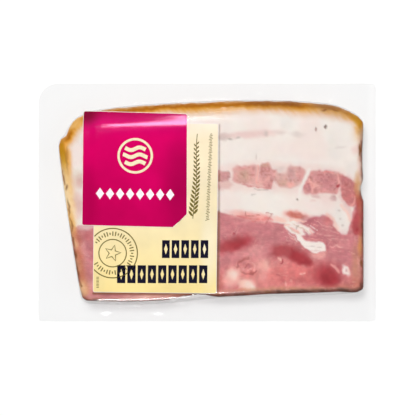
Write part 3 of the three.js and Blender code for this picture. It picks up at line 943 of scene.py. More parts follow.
class CutFace:
    """The colours of the slab's tissues, worked out for each of its vertices.

    The tissues run down through the slab, as the streaks of a belly do. The smoke browns a deep band under
    the rind, and a thin dark line runs along the other sides, darker and deeper along the front edge. Each
    step of those two has its depth in millimetres, its sRGB hex colour and how far it covers.
    """

    SKEW_X, SKEW_Y = 0.1, -0.08
    SMOKED_WALL = "B88450"
    CRUST_STEPS = (
        (0.0, "CFA274", 1.0), (0.6, "C88C46", 1.0), (1.3, "B8711C", 1.0), (2.0, "B16606", 1.0),
        (2.7, "C57D16", 1.0), (3.5, "DB993A", 1.0), (4.4, "E2A95C", 0.95), (5.6, "E8BE94", 0.88),
        (7.0, "EACDB8", 0.72), (9.5, "ECDBD0", 0.0),
    )
    LINE_STEPS = (
        (0.0, "543224", 0.95), (0.7, "6E4030", 0.9), (1.3, "A45C46", 0.65), (2.2, "CC8466", 0.35),
        (3.8, "E0A078", 0.0),
    )

    def __init__(self, places: np.ndarray) -> None:
        """Starts with fat all over.

        Args:
            places: The slab's vertices, one row of x, y and z for each, in metres.
        """
        self.places = places
        x, y, z = places.T / MM
        deep = Slab.CUT_HEIGHT_MM - z
        self.x = x + 0.6 * noise_at(places, 5, 1.7) + 0.6 * noise_at(places, 1.8, 4.1) + self.SKEW_X * deep
        self.y = y + 0.6 * noise_at(places, 5, 9.2) + 0.6 * noise_at(places, 1.8, 6.4) + self.SKEW_Y * deep
        self.colour = np.tile(hex_tone(Tissue.FAT.value), (len(places), 1))

    def lay(self, share: np.ndarray, tissue: Tissue) -> None:
        """Lays a tissue over what is there, covering each vertex by a share from 0 to 1."""
        self.colour += (hex_tone(tissue.value) - self.colour) * share[:, None]

    def lay_steps(
        self, depth: np.ndarray, steps: Sequence[tuple[float, str, float]], share: np.ndarray
    ) -> None:
        """Lays colours that change with depth.

        Args:
            depth: Depth of each vertex, in millimetres.
            steps: For each step its depth, its sRGB hex colour and how far it covers.
            share: How far the whole covers each vertex, from 0 to 1.
        """
        at, codes, covers = zip(*steps)
        over = np.column_stack([np.interp(depth, at, c) for c in np.array([hex_tone(c) for c in codes]).T])
        cover = np.interp(depth, at, covers) * share
        self.colour += (over - self.colour) * cover[:, None]

    def lay_tissues(self) -> np.ndarray:
        """Lays the muscles and the fat, paints the shadows beside the labels' edges, and mottles them.

        Returns:
            How lean each vertex is, from 0 to 1.
        """
        self.lay(smoothstep(noise_at(self.places, 14, 2.9), -0.1, 0.5) * 0.6, Tissue.WARM_FAT)
        self.lay(smoothstep(noise_at(self.places, 9, 6.1), 0.0, 0.6) * 0.5, Tissue.COOL_FAT)
        for mark in (*MUSCLES, *CUT_PATCHES, *WHITE_FOLDS):
            self.lay(mark.share(self.x, self.y), mark.tissue)
        x, y, z = self.places.T / MM
        # Painted shadows beside the labels' edges, laid on the slab's top only.
        for mark in LABEL_EDGE_SHADOWS:
            self.lay(mark.share(x, y) * smoothstep(z, 10, 14), mark.tissue)
        lean = smoothstep(-self.colour[:, 1], -0.78, -0.6)
        mottle = 0.6 * noise_at(self.places, 4.5, 5.5) + 0.6 * noise_at(self.places, 1.7, 8.8)
        self.colour *= 1 + (mottle * (0.012 + 0.08 * lean))[:, None]
        pale = smoothstep(self.colour[:, 1], 0.3, 0.45)
        speck = noise_at(self.places, 1.0, 3.7)
        speckled = lean * pale * (0.08 + 0.3 * smoothstep(self.y, 3, 7))
        self.lay(smoothstep(speck, 0.2, 0.7) * speckled, Tissue.BLUSH)
        self.lay(smoothstep(-speck, 0.2, 0.7) * speckled, Tissue.VEIN)
        cloud = noise_at(self.places, 3.4, 1.2)
        self.lay(smoothstep(cloud, 0.1, 0.6) * lean * pale * 0.2, Tissue.BLUSH)
        along = np.column_stack((self.x + 2.2 * self.y, 9 * self.y - 2 * self.x, 3 * self.x)) * MM
        veins = 1 - np.abs(noise_at(along, 16, 3.3)) * 8
        patchy = smoothstep(noise_at(self.places, 9, 7.1), 0.05, 0.5)
        self.lay(np.clip(veins, 0, 1) * patchy * lean * pale * 0.4, Tissue.SOFT_FAT)
        return lean * pale

    def brown_outside(self, rim: np.ndarray, rind: np.ndarray, wall: np.ndarray) -> None:
        """Browns the outside: the smoked band under the rind, and a thin dark line along the other sides.

        Args:
            rim: How deep each vertex lies inside the outline, in millimetres.
            rind: How far its nearest side is rind, from 0 to 1.
            wall: How far it lies on the slab's upright side, from 0 to 1.
        """
        x, y, z = self.places.T
        slanted = np.column_stack((x + 0.8 * y, 0.3 * y, z))
        ragged = 0.7 * noise_at(slanted, 1.3, 4.4) + 0.5 * noise_at(self.places, 3, 8.4)
        broad = 1 + 0.25 * noise_at(self.places, 15, 6.6)
        self.lay_steps(np.clip((rim + 0.9 * ragged) / broad, 0, None), self.CRUST_STEPS, rind)
        toasted = smoothstep(noise_at(self.places, 7, 3.1), -0.3, 0.5) * smoothstep(-rim, -3.4, -1.4)
        longest = smoothstep(self.x, 12, 34) * smoothstep(-self.x, -76, -58)
        self.lay(toasted * rind * (0.1 + 0.42 * longest), Tissue.BROWN_RIND)
        torn = smoothstep(noise_at(self.places, 4, 9.9), -0.6, 0.5)
        low = smoothstep(-z, -9 * MM, -3 * MM)
        # The dark line runs stronger along the front edge, and deeper where that edge is lean.
        foot = smoothstep(-y, 40 * MM, 46 * MM)
        edge = (1 - rind) * (0.3 + 0.35 * foot + (0.7 - 0.35 * foot) * torn)
        edge *= (1 - 0.5 * low) * (1 - (0.55 - 0.25 * foot) * wall * smoothstep(-z, -15 * MM, -11 * MM))
        lean_foot = foot * smoothstep(x, 2 * MM, 12 * MM)
        self.lay_steps(np.clip(rim + 0.6 * ragged - 1.2 * lean_foot, 0, None), self.LINE_STEPS, edge)
        high = smoothstep(z, 10 * MM, 13 * MM)
        for mark in RIND_MARKS:
            share = mark.share(self.x, self.y)
            self.lay(share * high if mark.tissue is Tissue.BROWN_RIND else share, mark.tissue)
        smoke = (0.35 + 0.25 * noise_at(self.places, 5, 2.2)) * (0.35 + 0.65 * rind)
        brown = self.colour * hex_tone(self.SMOKED_WALL)
        self.colour += (brown - self.colour) * (wall * low * smoke)[:, None]

    def linear(self) -> np.ndarray:
        """Gives the colours as linear light, with an alpha of 1."""
        return np.column_stack((to_linear(np.clip(self.colour, 0, 1)), np.ones(len(self.colour))))


class CuredPork:
    """Cured, cold-smoked pork belly, cut clean: moist fat and lean, with a smoke-browned outside."""

    # Size of the waves that bend the marbling, each with how far it bends it.
    BENDS_MM = ((7.0, 3.0), (1.6, 1.1))
    FIBRE_MM, FIBRE_TURN, FIBRE_STRETCH = 0.9, 0.35, 0.28
    MARBLING_MM, VEIN_SHARE = 6.5, 0.07
    SPREAD_MM = 9.0
    SKIN_MM, SKIN_DEPTH_MM = 0.8, 0.2

    def __init__(self) -> None:
        """Starts the material."""
        self.finish = Finish("smoked_pork_belly_cut_face")

    def bent(self, plain: Socket) -> Socket:
        """Bends a place, so that no edge is regular.

        Args:
            plain: Place on the slab, in millimetres.

        Returns:
            The bent place.
        """
        bent = plain
        for grain, reach in self.BENDS_MM:
            drift = self.finish.noise(plain, grain, 2, "Color")
            inputs = {0: drift, 1: (reach,) * 3, 2: (-reach / 2,) * 3}
            shift = self.finish.add("ShaderNodeVectorMath", {"operation": "MULTIPLY_ADD"}, inputs)
            bent = self.finish.add("ShaderNodeVectorMath", {}, {0: bent, 1: shift.outputs[0]}).outputs[0]
        return bent

    def build(self) -> bpy.types.Material:
        """Makes the material.

        Returns:
            The finished material.
        """
        finish = self.finish
        plain = finish.place()
        colour = self.grain_of_lean(finish.attribute("tissue", "Color"), plain)
        skin = finish.bump(finish.noise(plain, self.SKIN_MM, 3), 0.25, self.SKIN_DEPTH_MM)
        return finish.done(
            "ShaderNodeBsdfPrincipled",
            {
                "Base Color": colour,
                "Roughness": 0.42,
                "IOR": 1.4,
                "Specular IOR Level": 0.25,
                "Subsurface Weight": 0.12,
                "Subsurface Radius": (1.0, 0.45, 0.3),
                "Subsurface Scale": 1.5 * MM,
                "Normal": skin,
            },
        )

    def grain_of_lean(self, colour: Socket, plain: Socket) -> Socket:
        """Adds marbling and muscle fibres where the meat is lean.

        Args:
            colour: The colour so far.
            plain: Place on the slab, in millimetres.

        Returns:
            The colour with the grain in it.
        """
        finish, bent = self.finish, self.bent(plain)
        lean = finish.attribute("lean")
        inputs = {"Vector": bent, "Scale": 1 / self.MARBLING_MM}
        cells = finish.add("ShaderNodeTexVoronoi", {"feature": "DISTANCE_TO_EDGE"}, inputs)
        vein = finish.ramp(cells.outputs["Distance"], (0, 1), (self.VEIN_SHARE, 0), "SMOOTHSTEP")
        patchy = finish.ramp(finish.noise(plain, self.SPREAD_MM, 2), (0.5, 0), (0.7, 0.16), "SMOOTHSTEP")
        inputs = {"Vector": bent, "Rotation": (0, 0, self.FIBRE_TURN), "Scale": (self.FIBRE_STRETCH, 1, 1)}
        along = finish.add("ShaderNodeMapping", {}, inputs).outputs[0]
        fibres = finish.noise(along, self.FIBRE_MM, 3)
        light = finish.ramp(fibres, (0.52, 0), (0.78, 0.13), "SMOOTHSTEP")
        shade = finish.ramp(fibres, (0.5, 0), (0.28, 0.1), "SMOOTHSTEP")
        for share, tissue in (
            (finish.maths("MULTIPLY", vein, patchy), Tissue.SOFT_FAT),
            (light, Tissue.SOFT_FAT),
            (shade, Tissue.VEIN),
        ):
            colour = finish.blend(colour, srgb(tissue.value), finish.maths("MULTIPLY", share, lean))
        return colour


@dataclass
class Slab:
    """The slab of smoked bacon that the film is drawn over.

    Args:
        form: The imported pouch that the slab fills.
        film_gap_mm: How far the slab stays inside the film.
        grain_mm: Size of the mesh's faces on the cut face.
        slack_mm: How far the film stands off the slab along the left part of its lower edge.
        coarse_share: Share of the faces that is left once those low down are merged.
    """

    CUT_HEIGHT_MM = 17.0
    # Heights of the foot's ring on the pouch and above the sole, and how far in the sole's ring lies.
    FOOT_FROM_MM, FOOT_MM, SOLE_INSET_MM = 3.5, 0.8, 1.4
    # Tilts of the rays that find the rings up to the top, and insets of those on the top.
    LIFTS_DEG = (0, 12, 20, 26, 31, 36, 42, 52, 66, 90)
    TOP_INSETS_MM = (24, 36)
    OUTLINE_RING, LOW_MM = 4, 10
    MUSCLE_SINK_MM = 0.2

    form: PouchForm
    film_gap_mm: float = 0.35
    grain_mm: float = 0.6
    slack_mm: float = 2.4
    coarse_share: float = 0.66

    def inset(self, ring: np.ndarray) -> np.ndarray:
        """Moves a ring of the pouch in under the film.

        Args:
            ring: One row of x, y and z for each outline point, in metres.

        Returns:
            The moved ring.
        """
        x, y = self.form.outline[:, 0] / MM, self.form.outline[:, 1] / MM
        slack = smoothstep(-y, 45, 52) * smoothstep(x, -74, -66) * smoothstep(-x, -8, 6) * self.slack_mm
        slack *= 1 - 0.5 * smoothstep(-x, 10, 24)
        pinched = 0.3 * smoothstep(x, 0, 16) + 0.7 * smoothstep(x, 16, 36)
        slack += smoothstep(-y, 45, 50) * pinched * smoothstep(-x, -82, -72)
        moved = ring.copy()
        moved[:, :2] -= self.form.outward * ((self.film_gap_mm + slack) * MM)[:, None]
        return moved

    def build(self) -> bpy.types.Object:
        """Models the slab.

        Returns:
            The slab's piece.
        """
        form, gap = self.form, self.film_gap_mm * MM
        foot = form.ring_at(form.angles, self.FOOT_FROM_MM * MM)
        foot[:, 2] = gap + self.FOOT_MM * MM
        rings = [self.inset(form.inner_points(self.SOLE_INSET_MM, gap)), self.inset(foot)]
        for lift in self.LIFTS_DEG:
            ring = self.inset(form.shoulder_ring(lift))
            ring[:, 2] -= gap * math.sin(math.radians(lift))
            rings.append(ring)
        rings += [form.inner_points(inset, form.top - gap) for inset in self.TOP_INSETS_MM]
        slab = loft("bacon_slab", rings)
        apply_modifier(slab, "REMESH", mode="VOXEL", voxel_size=self.grain_mm * MM, use_smooth_shade=True)
        apply_modifier(slab, "SMOOTH", factor=0.5, iterations=3)
        low = slab.vertex_groups.new(name="low")
        low.add([v.index for v in slab.data.vertices if v.co.z < self.LOW_MM * MM], 1.0, "REPLACE")
        apply_modifier(slab, "DECIMATE", ratio=self.coarse_share, vertex_group="low")
        self.add_relief(slab)
        self.colour_tissues(slab, rings[self.OUTLINE_RING][:, :2])
        return slab

    def add_relief(self, slab: bpy.types.Object) -> None:
        """Lets the darker muscles sink and gives the cut a slight unevenness.

        Args:
            slab: The slab's piece.
        """
        places = vertex_places(slab)
        x, y, z = places.T / MM
        top = smoothstep(z, 11, 16)
        depth = 0.12 * noise_at(places, 9, 3.1) + 0.07 * noise_at(places, 2.6, 7.7) - 0.1
        for mark in (*CUT_PATCHES, *WHITE_FOLDS):
            if mark.tissue is Tissue.DARK_MUSCLE:
                depth -= self.MUSCLE_SINK_MM * mark.share(x, y)
        side = 0.4 * noise_at(places, 6, 1.3) + 0.35 * noise_at(places, 2.2, 5.9) - 0.35
        outward = places[:, :2] / np.linalg.norm(places[:, :2], axis=1)[:, None]
        wall = smoothstep(-z, -15, -12) * smoothstep(z, 0.5, 3)
        places[:, 2] += np.minimum(depth, 0.0) * top * MM
        places[:, :2] += outward * (np.minimum(side, 0.0) * wall * MM)[:, None]
        move_vertices(slab, places)

    def colour_tissues(self, slab: bpy.types.Object, outline: np.ndarray) -> None:
        """Stores the tissues' colours on the slab's vertices, for its material to read.

        Args:
            slab: The slab's piece.
            outline: The slab's widest outline, in metres.
        """
        tree = KDTree(len(outline))
        for i, point in enumerate(outline):
            tree.insert((point[0], point[1], 0), i)
        tree.balance()
        out = self.form.outward
        x, y = self.form.outline[:, 0] / MM, self.form.outline[:, 1] / MM
        back = smoothstep(out[:, 1] - 0.35 * out[:, 0], 0.05, 0.5)
        left = smoothstep(-x, 60, 70) * smoothstep(y, -16, 10) * 0.8
        right = smoothstep(x, 70, 80) * smoothstep(y, 30, 46) * 0.9
        along = np.maximum(np.maximum(back, left), right)
        places = vertex_places(slab)
        rim, rind = np.empty(len(places)), np.empty(len(places))
        for i, place in enumerate(places):
            _, nearest, distance = tree.find((place[0], place[1], 0))
            rim[i], rind[i] = distance / MM, along[nearest]
        normals = np.array([v.normal.z for v in slab.data.vertices])
        face = CutFace(places)
        lean = face.lay_tissues()
        face.brown_outside(rim, rind, smoothstep(-np.abs(normals), -0.75, -0.3))
        store_attribute(slab, "lean", lean)
        tissue = slab.data.attributes.new("tissue", "FLOAT_COLOR", "POINT")
        tissue.data.foreach_set("color", face.linear().astype(np.float32).ravel())


class BarrierFilm:
    """Clear multilayer vacuum film, drawn tight: nearly invisible but for glints where it bends."""

    TINT = "FBFBFB"
    BAND_TINT = "FCFCFC"
    # Where the weld band begins and ends, each with the way into it.
    BAND_MM = ((90.7, 1), (94.6, -1))
    BAND_EDGE_MM = 0.3
    RIPPLE_MM = 5.0
    CREASE_MM, CREASE_STRETCH, CREASE_STRENGTH = 1.7, 0.45, 8.0
    RELIEF_MM = 0.3
    ROUGHNESS = 0.09
    HEAD_ON_GLOSS = 0.01
    GRAZING_GLOSS, GLOSS_FALLOFF = 0.4, 5.0

    def build(self) -> bpy.types.Material:
        """Makes the material: light passes straight through, apart from the share that is mirrored.

        Returns:
            The finished material.
        """
        finish = Finish("clear_polyamide_vacuum_film")
        place = finish.place()
        x = finish.axis(place, "X")
        inside = [
            finish.ramp(x, (edge - way * self.BAND_EDGE_MM, 0), (edge + way * self.BAND_EDGE_MM, 1))
            for edge, way in self.BAND_MM
        ]
        tint = finish.blend(srgb(self.TINT), srgb(self.BAND_TINT), finish.maths("MULTIPLY", *inside))
        stretched = {"Vector": place, "Scale": (self.CREASE_STRETCH, 1, 1)}
        crease = finish.noise(finish.add("ShaderNodeMapping", {}, stretched).outputs[0], self.CREASE_MM, 1)
        creases = finish.maths("MULTIPLY", crease, finish.attribute("slack"))
        ripple = finish.noise(place, self.RIPPLE_MM, 2)
        height = finish.maths("MULTIPLY_ADD", creases, self.CREASE_STRENGTH, ripple)
        normal = finish.bump(height, 0.2, self.RELIEF_MM)
        clear = finish.add("ShaderNodeBsdfTransparent", {}, {"Color": tint})
        gloss = finish.add("ShaderNodeBsdfGlossy", {}, {"Roughness": self.ROUGHNESS, "Normal": normal})
        slant = finish.add("ShaderNodeLayerWeight", {}, {"Blend": 0.5, "Normal": normal}).outputs["Facing"]
        steep = finish.maths("POWER", slant, self.GLOSS_FALLOFF)
        share = finish.maths("MULTIPLY_ADD", steep, self.GRAZING_GLOSS, self.HEAD_ON_GLOSS)
        return finish.done("ShaderNodeMixShader", {0: share, 1: clear.outputs[0], 2: gloss.outputs[0]})


@dataclass
class VacuumFilm:
    """The pouch: two webs of film, sealed flat all round and drawn tight over the slab.

    Args:
        form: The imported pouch, which the film follows.
        seal_mm: Thickness of the sealed border.
        pleats: How many small pleats run out from the slab's foot.
        pleat_mm: Greatest height of a pleat.
        seed: Seed of the pleats' places.
    """

    # Shares of the way in across the border, heights up the foot, tilts of the rays over the
    # shoulder, and insets of the rings on the top.
    BORDER_SHARES = (0.03, 0.1, 0.2, 0.32, 0.44, 0.56, 0.67, 0.77, 0.86, 0.94)
    WALL_HEIGHTS_MM = (0.62, 0.9, 1.4, 2.2, 3.5, 5.5)
    LIFTS_DEG = (0, 8, 14, 18, 22, 25, 28, 31, 34, 38, 43, 50, 60, 73, 90)
    TOP_INSETS_MM = (19, 24, 30, 38)
    # How strongly the rings of PLEATED are pleated. Those of SWAYING also wave in and out.
    PLEAT_FADE = (0.05, 0.1, 0.2, 0.35, 0.5, 0.7, 0.85, 1, 1, 0.8, 0.5, 0.25)
    CRINKLE_MM, SWAY_MM = 1.3, 0.7
    PLEATED, SWAYING = slice(4, 16), slice(12, 20)

    form: PouchForm
    seal_mm: float = 0.5
    pleats: int = 20
    pleat_mm: float = 0.4
    seed: int = 11

    def build(self) -> bpy.types.Object:
        """Models the film.

        Returns:
            The film's piece.
        """
        form = self.form
        border = form.ring_at(form.angles, self.seal_mm / 2 * MM)
        foot = form.ring_at(form.angles, self.WALL_HEIGHTS_MM[0] * MM)
        under, over = border.copy(), border.copy()
        under[:, 2], over[:, 2] = 0, self.seal_mm * MM
        rings = [over + (foot - over) * share for share in self.BORDER_SHARES]
        rings += [form.ring_at(form.angles, z * MM) for z in self.WALL_HEIGHTS_MM]
        rings += [form.shoulder_ring(lift) for lift in self.LIFTS_DEG]
        rings += [form.inner_points(inset, form.top) for inset in self.TOP_INSETS_MM]
        rings = [under, over, *(self.smoothed(ring) for ring in rings)]
        self.add_pleats(rings)
        film = loft("vacuum_film", rings)
        x, y, z = vertex_places(film).T / MM
        slack = smoothstep(-y, 47, 53) * smoothstep(-x, -12, 14) * smoothstep(-z, -13, -6)
        store_attribute(film, "slack", slack * smoothstep(z, 1.2, 3.2))
        return film

    @staticmethod
    def smoothed(ring: np.ndarray) -> np.ndarray:
        """Eases a ring over its facets.

        Args:
            ring: One row of x, y and z for each outline point.

        Returns:
            The eased ring.
        """
        steps = np.arange(-6, 7)
        weights = np.exp(-0.5 * (steps / 2.6) ** 2)
        weights /= weights.sum()
        return sum(w * np.roll(ring, k, axis=0) for k, w in zip(steps, weights))

    def add_pleats(self, rings: list[np.ndarray]) -> None:
        """Raises pleats across the border and crinkles the film below the slab's left foot.

        Args:
            rings: The film's rings, changed in place.
        """
        draw = np.random.default_rng(self.seed)
        count = len(self.form.angles)
        index = np.arange(count)
        ridge = np.zeros(count)
        for _ in range(self.pleats):
            middle, width = draw.uniform(0, count), draw.uniform(0.9, 2.0)
            gap = np.abs((index - middle + count / 2) % count - count / 2)
            ridge += draw.uniform(0.25, 1.0) * np.exp(-0.5 * (gap / width) ** 2)
        x, y = self.form.outline[:, 0] / MM, self.form.outline[:, 1] / MM
        crinkled = smoothstep(-y, 44, 51) * smoothstep(-x, -8, 25) * smoothstep(x, -78, -68)
        for ring, share in zip(rings[self.PLEATED], self.PLEAT_FADE):
            wave = noise_at(ring, 2.6, 3.7)
            ring[:, 2] += self.pleat_mm * MM * share * np.clip(ridge, 0, 1)
            ring[:, 2] += self.CRINKLE_MM * MM * share * crinkled * np.clip(wave, 0, 1)
        for ring in rings[self.SWAYING]:
            wave = noise_at(ring, 4.5, 2.2)
            ring[:, :2] += self.form.outward * (self.SWAY_MM * MM * crinkled * wave)[:, None]


@dataclass(frozen=True)
class Shade:
    """One soft oval that makes a print darker or lighter; those on the magenta panel are painted shade and
    painted light.

    Args:
        at: Middle of the oval, in millimetres.
        size: Its two full widths, in millimetres.
        colour: The sRGB hex colour laid there.
        strength: How far it shows at its middle, from 0 to 1.
    """

    at: tuple[float, float]
    size: tuple[float, float]
    colour: str
    strength: float


@dataclass(frozen=True)
class VarnishedPaper:
    """Offset-printed label paper under varnish or laminate, its colour changing from foot to top and in soft
    ovals. On the magenta panel these are painted shade and painted light of the bent sheet; on the cream
    label they are lighter and darker tones.

    Args:
        name: Name of the material.
        run: sRGB hex colours from the sheet's foot to its top, with the place of each from 0 to 1.
        shades: Soft ovals where it is made darker or lighter.
        roughness: Roughness of the varnish or laminate.
        specular: Strength of its mirror layer.
        sheen: sRGB hex colour of what it mirrors.
    """

    SHADE_HEIGHT_MM, SHADE_DEPTH_MM, SHADE_CORE = 17, 50, 0.2
    CLOUD_MM = 14
    TOOTH_MM, TOOTH_DEPTH_MM = 0.7, 0.05

    name: str
    run: tuple[tuple[float, str], ...]
    shades: tuple[Shade, ...]
    roughness: float
    specular: float
    sheen: str = "FFFFFF"

    def build(self, low_mm: float, high_mm: float) -> bpy.types.Material:
        """Makes the material.

        Args:
            low_mm: Place of the label's foot.
            high_mm: Place of its top.

        Returns:
            The finished material.
        """
        finish = Finish(self.name)
        place = finish.place()
        up = finish.ramp(finish.axis(place, "Y"), (low_mm, 0), (high_mm, 1))
        run = finish.add("ShaderNodeValToRGB", {}, {"Fac": up})
        for spot, _ in self.run[1:-1]:
            run.color_ramp.elements.new(spot)
        for element, (_, tone) in zip(run.color_ramp.elements, self.run):
            element.color = srgb(tone)
        colour = run.outputs["Color"]
        for shade in self.shades:
            colour = self.lay_shade(finish, colour, place, shade)
        return finish.done(
            "ShaderNodeBsdfPrincipled",
            {
                "Base Color": finish.uneven(colour, finish.noise(place, self.CLOUD_MM, 2), 0.94, 1.05),
                "Roughness": self.roughness,
                "Specular IOR Level": self.specular,
                "Specular Tint": srgb(self.sheen),
                "Normal": finish.bump(finish.noise(place, self.TOOTH_MM, 3), 0.1, self.TOOTH_DEPTH_MM),
            },
        )

    def lay_shade(self, finish: Finish, colour: Socket, place: Socket, shade: Shade) -> Socket:
        """Lays one soft oval over the print's colour.

        Args:
            finish: The material so far.
            colour: The print's colour so far.
            place: Place on the part, in millimetres.
            shade: The oval.

        Returns:
            The colour with the oval on it.
        """
        inputs = {
            "Vector": place,
            "Location": (*shade.at, self.SHADE_HEIGHT_MM),
            "Scale": (shade.size[0] / 2, shade.size[1] / 2, self.SHADE_DEPTH_MM),
        }
        own = finish.add("ShaderNodeMapping", {"vector_type": "TEXTURE"}, inputs).outputs[0]
        away = finish.add("ShaderNodeVectorMath", {"operation": "LENGTH"}, {0: own}).outputs["Value"]
        share = finish.ramp(away, (self.SHADE_CORE, shade.strength), (1, 0), "SMOOTHSTEP")
        return finish.blend(colour, srgb(shade.colour), share)


@dataclass(frozen=True)
class Ink:
    """A solid printing ink, slightly uneven where it took to the paper.

    Args:
        name: Name of the material.
        colour: Its sRGB hex colour.
        roughness: Roughness of the dried ink.
    """

    GRAIN_MM = 1.5

    name: str
    colour: str
    roughness: float = 0.4

    def build(self) -> bpy.types.Material:
        """Makes the material.

        Returns:
            The finished material.
        """
        finish = Finish(self.name)
        take = finish.noise(finish.place(), self.GRAIN_MM, 3)
        colour = finish.uneven(srgb(self.colour)[:3], take, 0.9, 1.05)
        inputs = {"Base Color": colour, "Roughness": self.roughness, "Specular IOR Level": 0.06}
        return finish.done("ShaderNodeBsdfPrincipled", inputs)


@dataclass
class LabelSheet:
    """A paper label stuck over the film, bending down with the slab's shoulder.

    Args:
        name: Name of the piece.
        node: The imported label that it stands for.
        turn_deg: How far it is turned anticlockwise.
        cut_corner_mm: Width and height of the slanting cut at its lower right, or none.
        corner_mm: Radius of its corners.
        lies_on: The sheet that it partly covers, or none.
        gap_mm: How far it lies above what is under it.
        thickness_mm: Its thickness.
        reach_down_mm: How far below the slab's top its edge may bend.
        mesh_mm: Size of the mesh's faces.
        margin_mm: Width of the bare paper round the print.
        pulls_mm: How far its upper left, upper right, lower left and lower right corners are pulled askew.
    """

    name: str
    node: str
    turn_deg: float
    cut_corner_mm: tuple[float, float] | None = None
    corner_mm: float = 1.2
    lies_on: LabelSheet | None = None
    gap_mm: float = 0.08
    thickness_mm: float = 0.2
    reach_down_mm: float = 3.4
    mesh_mm: float = 1.5
    margin_mm: float = 0.22
    pulls_mm: tuple[tuple[float, float], ...] = ((0, 0),) * 4

    def __post_init__(self) -> None:
        """Works out the sheet's centre, width and height from its packed box."""
        low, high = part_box(self.node)
        turn = abs(math.radians(self.turn_deg))
        cos, sin = math.cos(turn), math.sin(turn)
        box_x, box_y = high[0] - low[0], high[1] - low[1]
        spread = cos * cos - sin * sin
        self.width = (box_x * cos - box_y * sin) / spread
        self.height = (box_y * cos - box_x * sin) / spread
        self.centre = Vector(((low[0] + high[0]) / 2, (low[1] + high[1]) / 2, 0))
        below = self.lies_on.gap_mm + self.lies_on.thickness_mm if self.lies_on else 0.0
        film_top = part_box("sealed_pouch")[1][2]
        self.top = film_top + (below + self.gap_mm + self.thickness_mm) * MM

    def place(self) -> Matrix:
        """Gives the turn and shift from the sheet's own middle to where it lies."""
        return Matrix.Translation(self.centre) @ Matrix.Rotation(math.radians(self.turn_deg), 4, "Z")

    def step_up(self, spot: Vector) -> float:
        """Gives how far the sheet is lifted where it lies on another sheet.

        Args:
            spot: Place on the part, in metres.

        Returns:
            The lift, in millimetres.
        """
        if self.lies_on is None:
            return 0.0
        under = self.lies_on
        own = under.place().inverted() @ Vector((spot.x, spot.y, 0))
        inside = min(under.width / 2 - abs(own.x), under.height / 2 - abs(own.y)) / MM
        return (under.gap_mm + under.thickness_mm) * float(smoothstep(inside, -1.6, 0.0))

    def build(self, form: PouchForm) -> bpy.types.Object:
        """Models the sheet.

        Args:
            form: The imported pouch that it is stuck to.

        Returns:
            The sheet's piece, whose "margin" attribute is 1 on the faces round the print.
        """
        deselect_all()
        bpy.ops.mesh.primitive_grid_add(
            x_subdivisions=round(self.width / (self.mesh_mm * MM)),
            y_subdivisions=round(self.height / (self.mesh_mm * MM)),
            size=1,
        )
        sheet = bpy.context.object
        sheet.name = self.name
        with editing(sheet):
            bpy.ops.mesh.select_all(action="SELECT")
            bpy.ops.transform.resize(value=(self.width, self.height, 1))
        self.trim(sheet)
        with editing(sheet) as mesh:
            place = self.place()
            floor = form.top - self.reach_down_mm * MM
            for vertex in mesh.verts:
                across, up = vertex.co.x / self.width + 0.5, vertex.co.y / self.height + 0.5
                shares = ((1 - across) * up, across * up, (1 - across) * (1 - up), across * (1 - up))
                pull = sum((Vector(p) * s for p, s in zip(self.pulls_mm, shares)), Vector((0, 0)))
                vertex.co = place @ vertex.co + Vector((*(pull * MM), 0))
                vertex.co.z = max(form.height(vertex.co.x, vertex.co.y, floor), floor)
                vertex.co.z += (self.gap_mm + self.step_up(vertex.co)) * MM
        apply_modifier(sheet, "SMOOTH", factor=0.5, iterations=4, use_x=False, use_y=False)
        apply_modifier(sheet, "SOLIDIFY", thickness=self.thickness_mm * MM, offset=1)
        return sheet

    def trim(self, sheet: bpy.types.Object) -> None:
        """Cuts the slanting corner, rounds the others and marks off the margin.

        Args:
            sheet: The flat sheet, still about its own middle.
        """
        half_x, half_y = self.width / 2, self.height / 2
        if self.cut_corner_mm:
            across, up = (c * MM for c in self.cut_corner_mm)
            with editing(sheet):
                bpy.ops.mesh.select_all(action="SELECT")
                bpy.ops.mesh.bisect(
                    plane_co=(half_x - across, -half_y, 0),
                    plane_no=Vector((up, -across, 0)).normalized(),
                    clear_outer=True,
                    threshold=0.001 * MM,
                )
        with editing(sheet) as mesh:
            bpy.ops.mesh.select_all(action="DESELECT")
            for vertex in mesh.verts:
                near = math.hypot(abs(vertex.co.x) - half_x, abs(vertex.co.y) - half_y)
                vertex.select = near < 0.01 * MM
            mesh.select_flush(True)
            bpy.ops.mesh.bevel(offset=self.corner_mm * MM, segments=5, affect="VERTICES")
        with editing(sheet):
            bpy.ops.mesh.select_all(action="SELECT")
            bpy.ops.mesh.inset(thickness=self.margin_mm * MM, depth=0, use_boundary=True)
            mesh = bmesh.from_edit_mesh(sheet.data)
            margin = mesh.faces.layers.int.new("margin")
            for face in mesh.faces:
                face[margin] = 0 if face.select else 1


